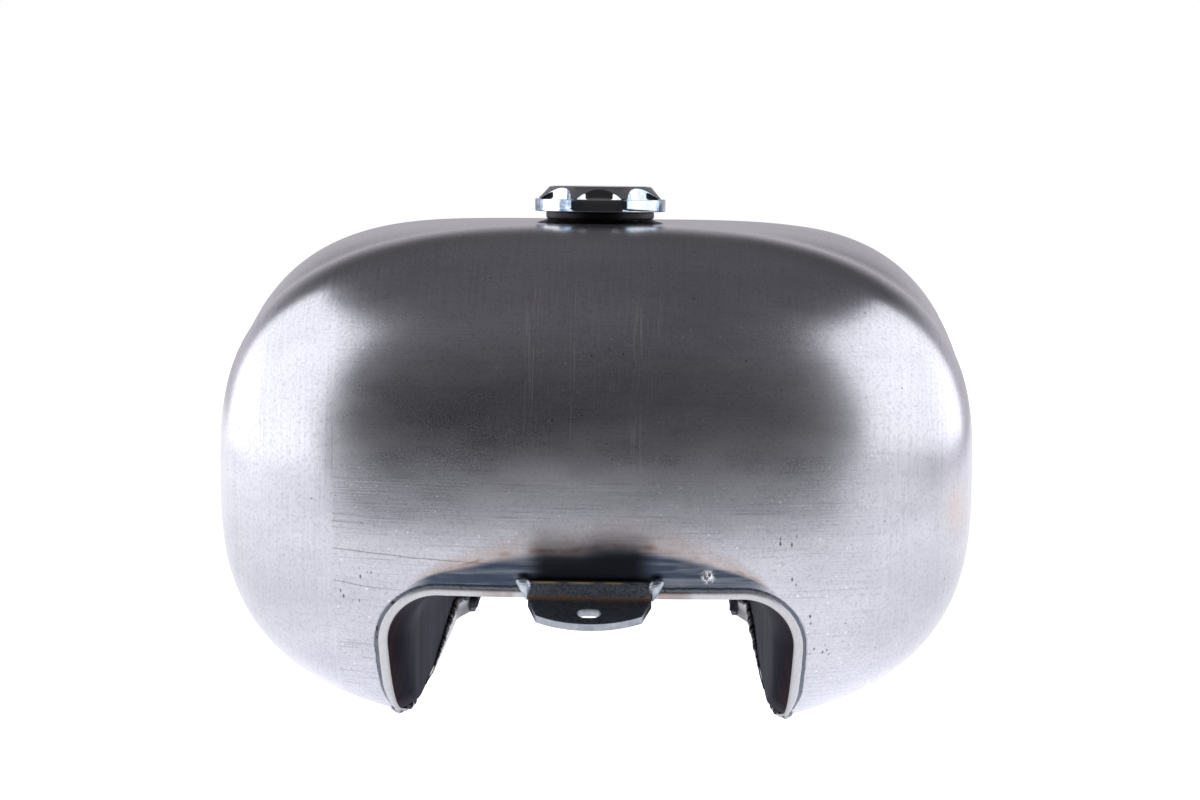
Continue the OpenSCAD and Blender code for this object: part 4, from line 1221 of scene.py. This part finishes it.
def make_floor():
    """Pale table top, bright to the camera, that ends in front of the object."""
    side, back = 2.4, 2.6
    corners = [(-side, -1.7, 0), (-0.45, TABLE_FRONT, 0), (0.45, TABLE_FRONT, 0), (0.95, -1.2, 0),
               (0.95, back, 0), (-side, back, 0)]
    mesh = bpy.data.meshes.new("floor")
    mesh.from_pydata(corners, [], [(0, 1, 2, 3, 4, 5)])
    floor = add_object("floor", mesh)
    p = Paint("floor", metallic=0.0, roughness=0.9)
    p.plug(p.shader.inputs["Base Color"], (0.85, 0.85, 0.86))
    strength = p.linear(p.node("ShaderNodeLightPath").outputs["Is Camera Ray"], 0.6, 0.72)
    glow = p.node("ShaderNodeEmission", (("Color", (1, 1, 1)), ("Strength", strength)))
    both = p.node("ShaderNodeAddShader", enumerate((p.shader.outputs[0], glow.outputs[0])))
    p.plug(p.tree.nodes["Material Output"].inputs["Surface"], both.outputs[0])
    mesh.materials.append(p.material)


def make_softbox(name, azimuth, radiance):
    """Upright soft light that faces the object; azimuth is from -Y towards +X, in degrees."""
    distance, height, wide, tall = 1.7, 1.1, 2.8, 2.2
    a = math.radians(azimuth)
    data = bpy.data.lights.new(name, "AREA")
    data.shape, data.size, data.size_y = "RECTANGLE", wide, tall
    data.energy = radiance * math.pi * wide * tall
    light = add_object(name, data)
    light.location = (distance * math.sin(a), -distance * math.cos(a), height)
    aim = Vector((0, 0, height)) - light.location
    light.rotation_euler = aim.to_track_quat("-Z", "Y").to_euler()
    light.visible_camera = False


def make_world():
    """White to the camera; a dim room in front, a white backdrop low behind, for reflections."""
    world = bpy.data.worlds.new("world")
    bpy.context.scene.world = world
    world.use_nodes = True
    w = Nodes(world.node_tree)
    _, y, z = w.parts(w.node("ShaderNodeTexCoord").outputs["Generated"])
    room = w.fade(z, 0.0, 0.85, 0.022, 0.12)
    backdrop = w.product(w.fade(y, 0.0, 0.5), w.fade(z, 0.50, 0.12), 0.60)
    light = w.math("ADD", room, backdrop)
    ray = w.node("ShaderNodeLightPath").outputs["Is Camera Ray"]
    unseen = w.product(light, w.math("SUBTRACT", 1.0, ray))
    background = w.tree.nodes["Background"]
    w.plug(background.inputs["Strength"], w.math("ADD", unseen, ray))
    w.plug(background.inputs["Color"], w.blend(ray, (1.0, 0.955, 1.0), (1, 1, 1)))


def dress_nodes(**materials):
    """Gives CAD nodes that stay visible their materials."""
    for node, material in materials.items():
        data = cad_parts[node].data
        data.materials.clear()
        data.materials.append(material)


# ------------------------------------------------------------------ build
make_camera()
make_world()
make_floor()
make_softbox("softbox_left", -88, 1.38)
make_softbox("softbox_right", 86, 1.30)
bpy.context.scene.view_settings.view_transform = "Standard"

steel = raw_steel()
lip_metal = ground_lip()
mill = mill_steel()
mouth_weld_metal = groove_weld()
rough_weld_metal = weld_bead("rough_weld", SOOT, (0.06, 0.06, 0.075), (0.13, 0.06, 0.04))
bead_metal = weld_bead("bracket_weld", (0.22, 0.27, 0.34), (0.62, 0.68, 0.76), STRAW, 0.66, 0.00003)
plate_metal = bracket_steel()
edge_metal = cut_edge()
shine = chrome()
neck_metal = turned_steel("neck_steel", (0.09, 0.09, 0.10), (0.26, 0.26, 0.28))
valve_metal = turned_steel("valve_steel", (0.45, 0.45, 0.47), (0.72, 0.72, 0.74))

skin = make_skins(steel)
make_centre_seam(skin, steel)
arch_columns = columns()
make_tunnel("tunnel_front_sheet", front_tunnel_grid(arch_columns), True, "tunnel_front", lip_metal, mill)
make_tunnel("tunnel_rear_sheet", rear_tunnel_grid(arch_columns), False, "tunnel_rear", lip_metal, mill)
make_joint_bead(rough_weld_metal)
make_mouth_bead("mouth_bead_front", True, "front_mouth_weld", mouth_weld_metal)
make_mouth_bead("mouth_bead_rear", False, "rear_mouth_weld", mouth_weld_metal)
make_seam(-1, "left", steel, rough_weld_metal, mill)
make_seam(1, "right", steel, rough_weld_metal, mill)

front_axis_y = FRONT_PLATE_Y - BRACKET_T - BEND_R
front_reach = -(front_axis_y + BEND_R * math.sin(math.radians(TAB_SLOPE))
                - TAB_L * math.cos(math.radians(TAB_SLOPE)))
rear_axis_y = REAR_PLATE_Y + BRACKET_T + BEND_R
rear_tab_l = front_reach - rear_axis_y
make_bracket("front_bracket_plate", "front_bracket", FRONT_PLATE_Y, UPRIGHT_LOW, -1, TAB_SLOPE, TAB_L,
             [slot_loop()], [plate_metal, edge_metal])
rear_hole = arc_points(0, rear_tab_l * 0.5, REAR_HOLE_R, 0, 2 * math.pi, 49)[:-1]
make_bracket("rear_bracket_plate", "rear_bracket", REAR_PLATE_Y, REAR_UPRIGHT_LOW, 1, 0, rear_tab_l,
             [rear_hole], [plate_metal, edge_metal])
make_bracket_beads("front_bracket_beads", "front_bracket_welds", FRONT_PLATE_Y - BEAD_R - 0.3,
                   UPRIGHT_LOW, bead_metal)
make_bracket_beads("rear_bracket_beads", "rear_bracket_welds", REAR_PLATE_Y + BEAD_R + 0.3,
                   REAR_UPRIGHT_LOW, bead_metal)

make_filler_bead(rough_weld_metal)
make_gasket(rubber())
make_cap(shine, knurled_chrome())
make_outlet_beads(mouth_weld_metal)
dress_nodes(filler_neck=neck_metal, outlet_boss_left=neck_metal, outlet_boss_right=neck_metal,
            vent_retainer=valve_metal, vent_spring=valve_metal, vent_ball=valve_metal)
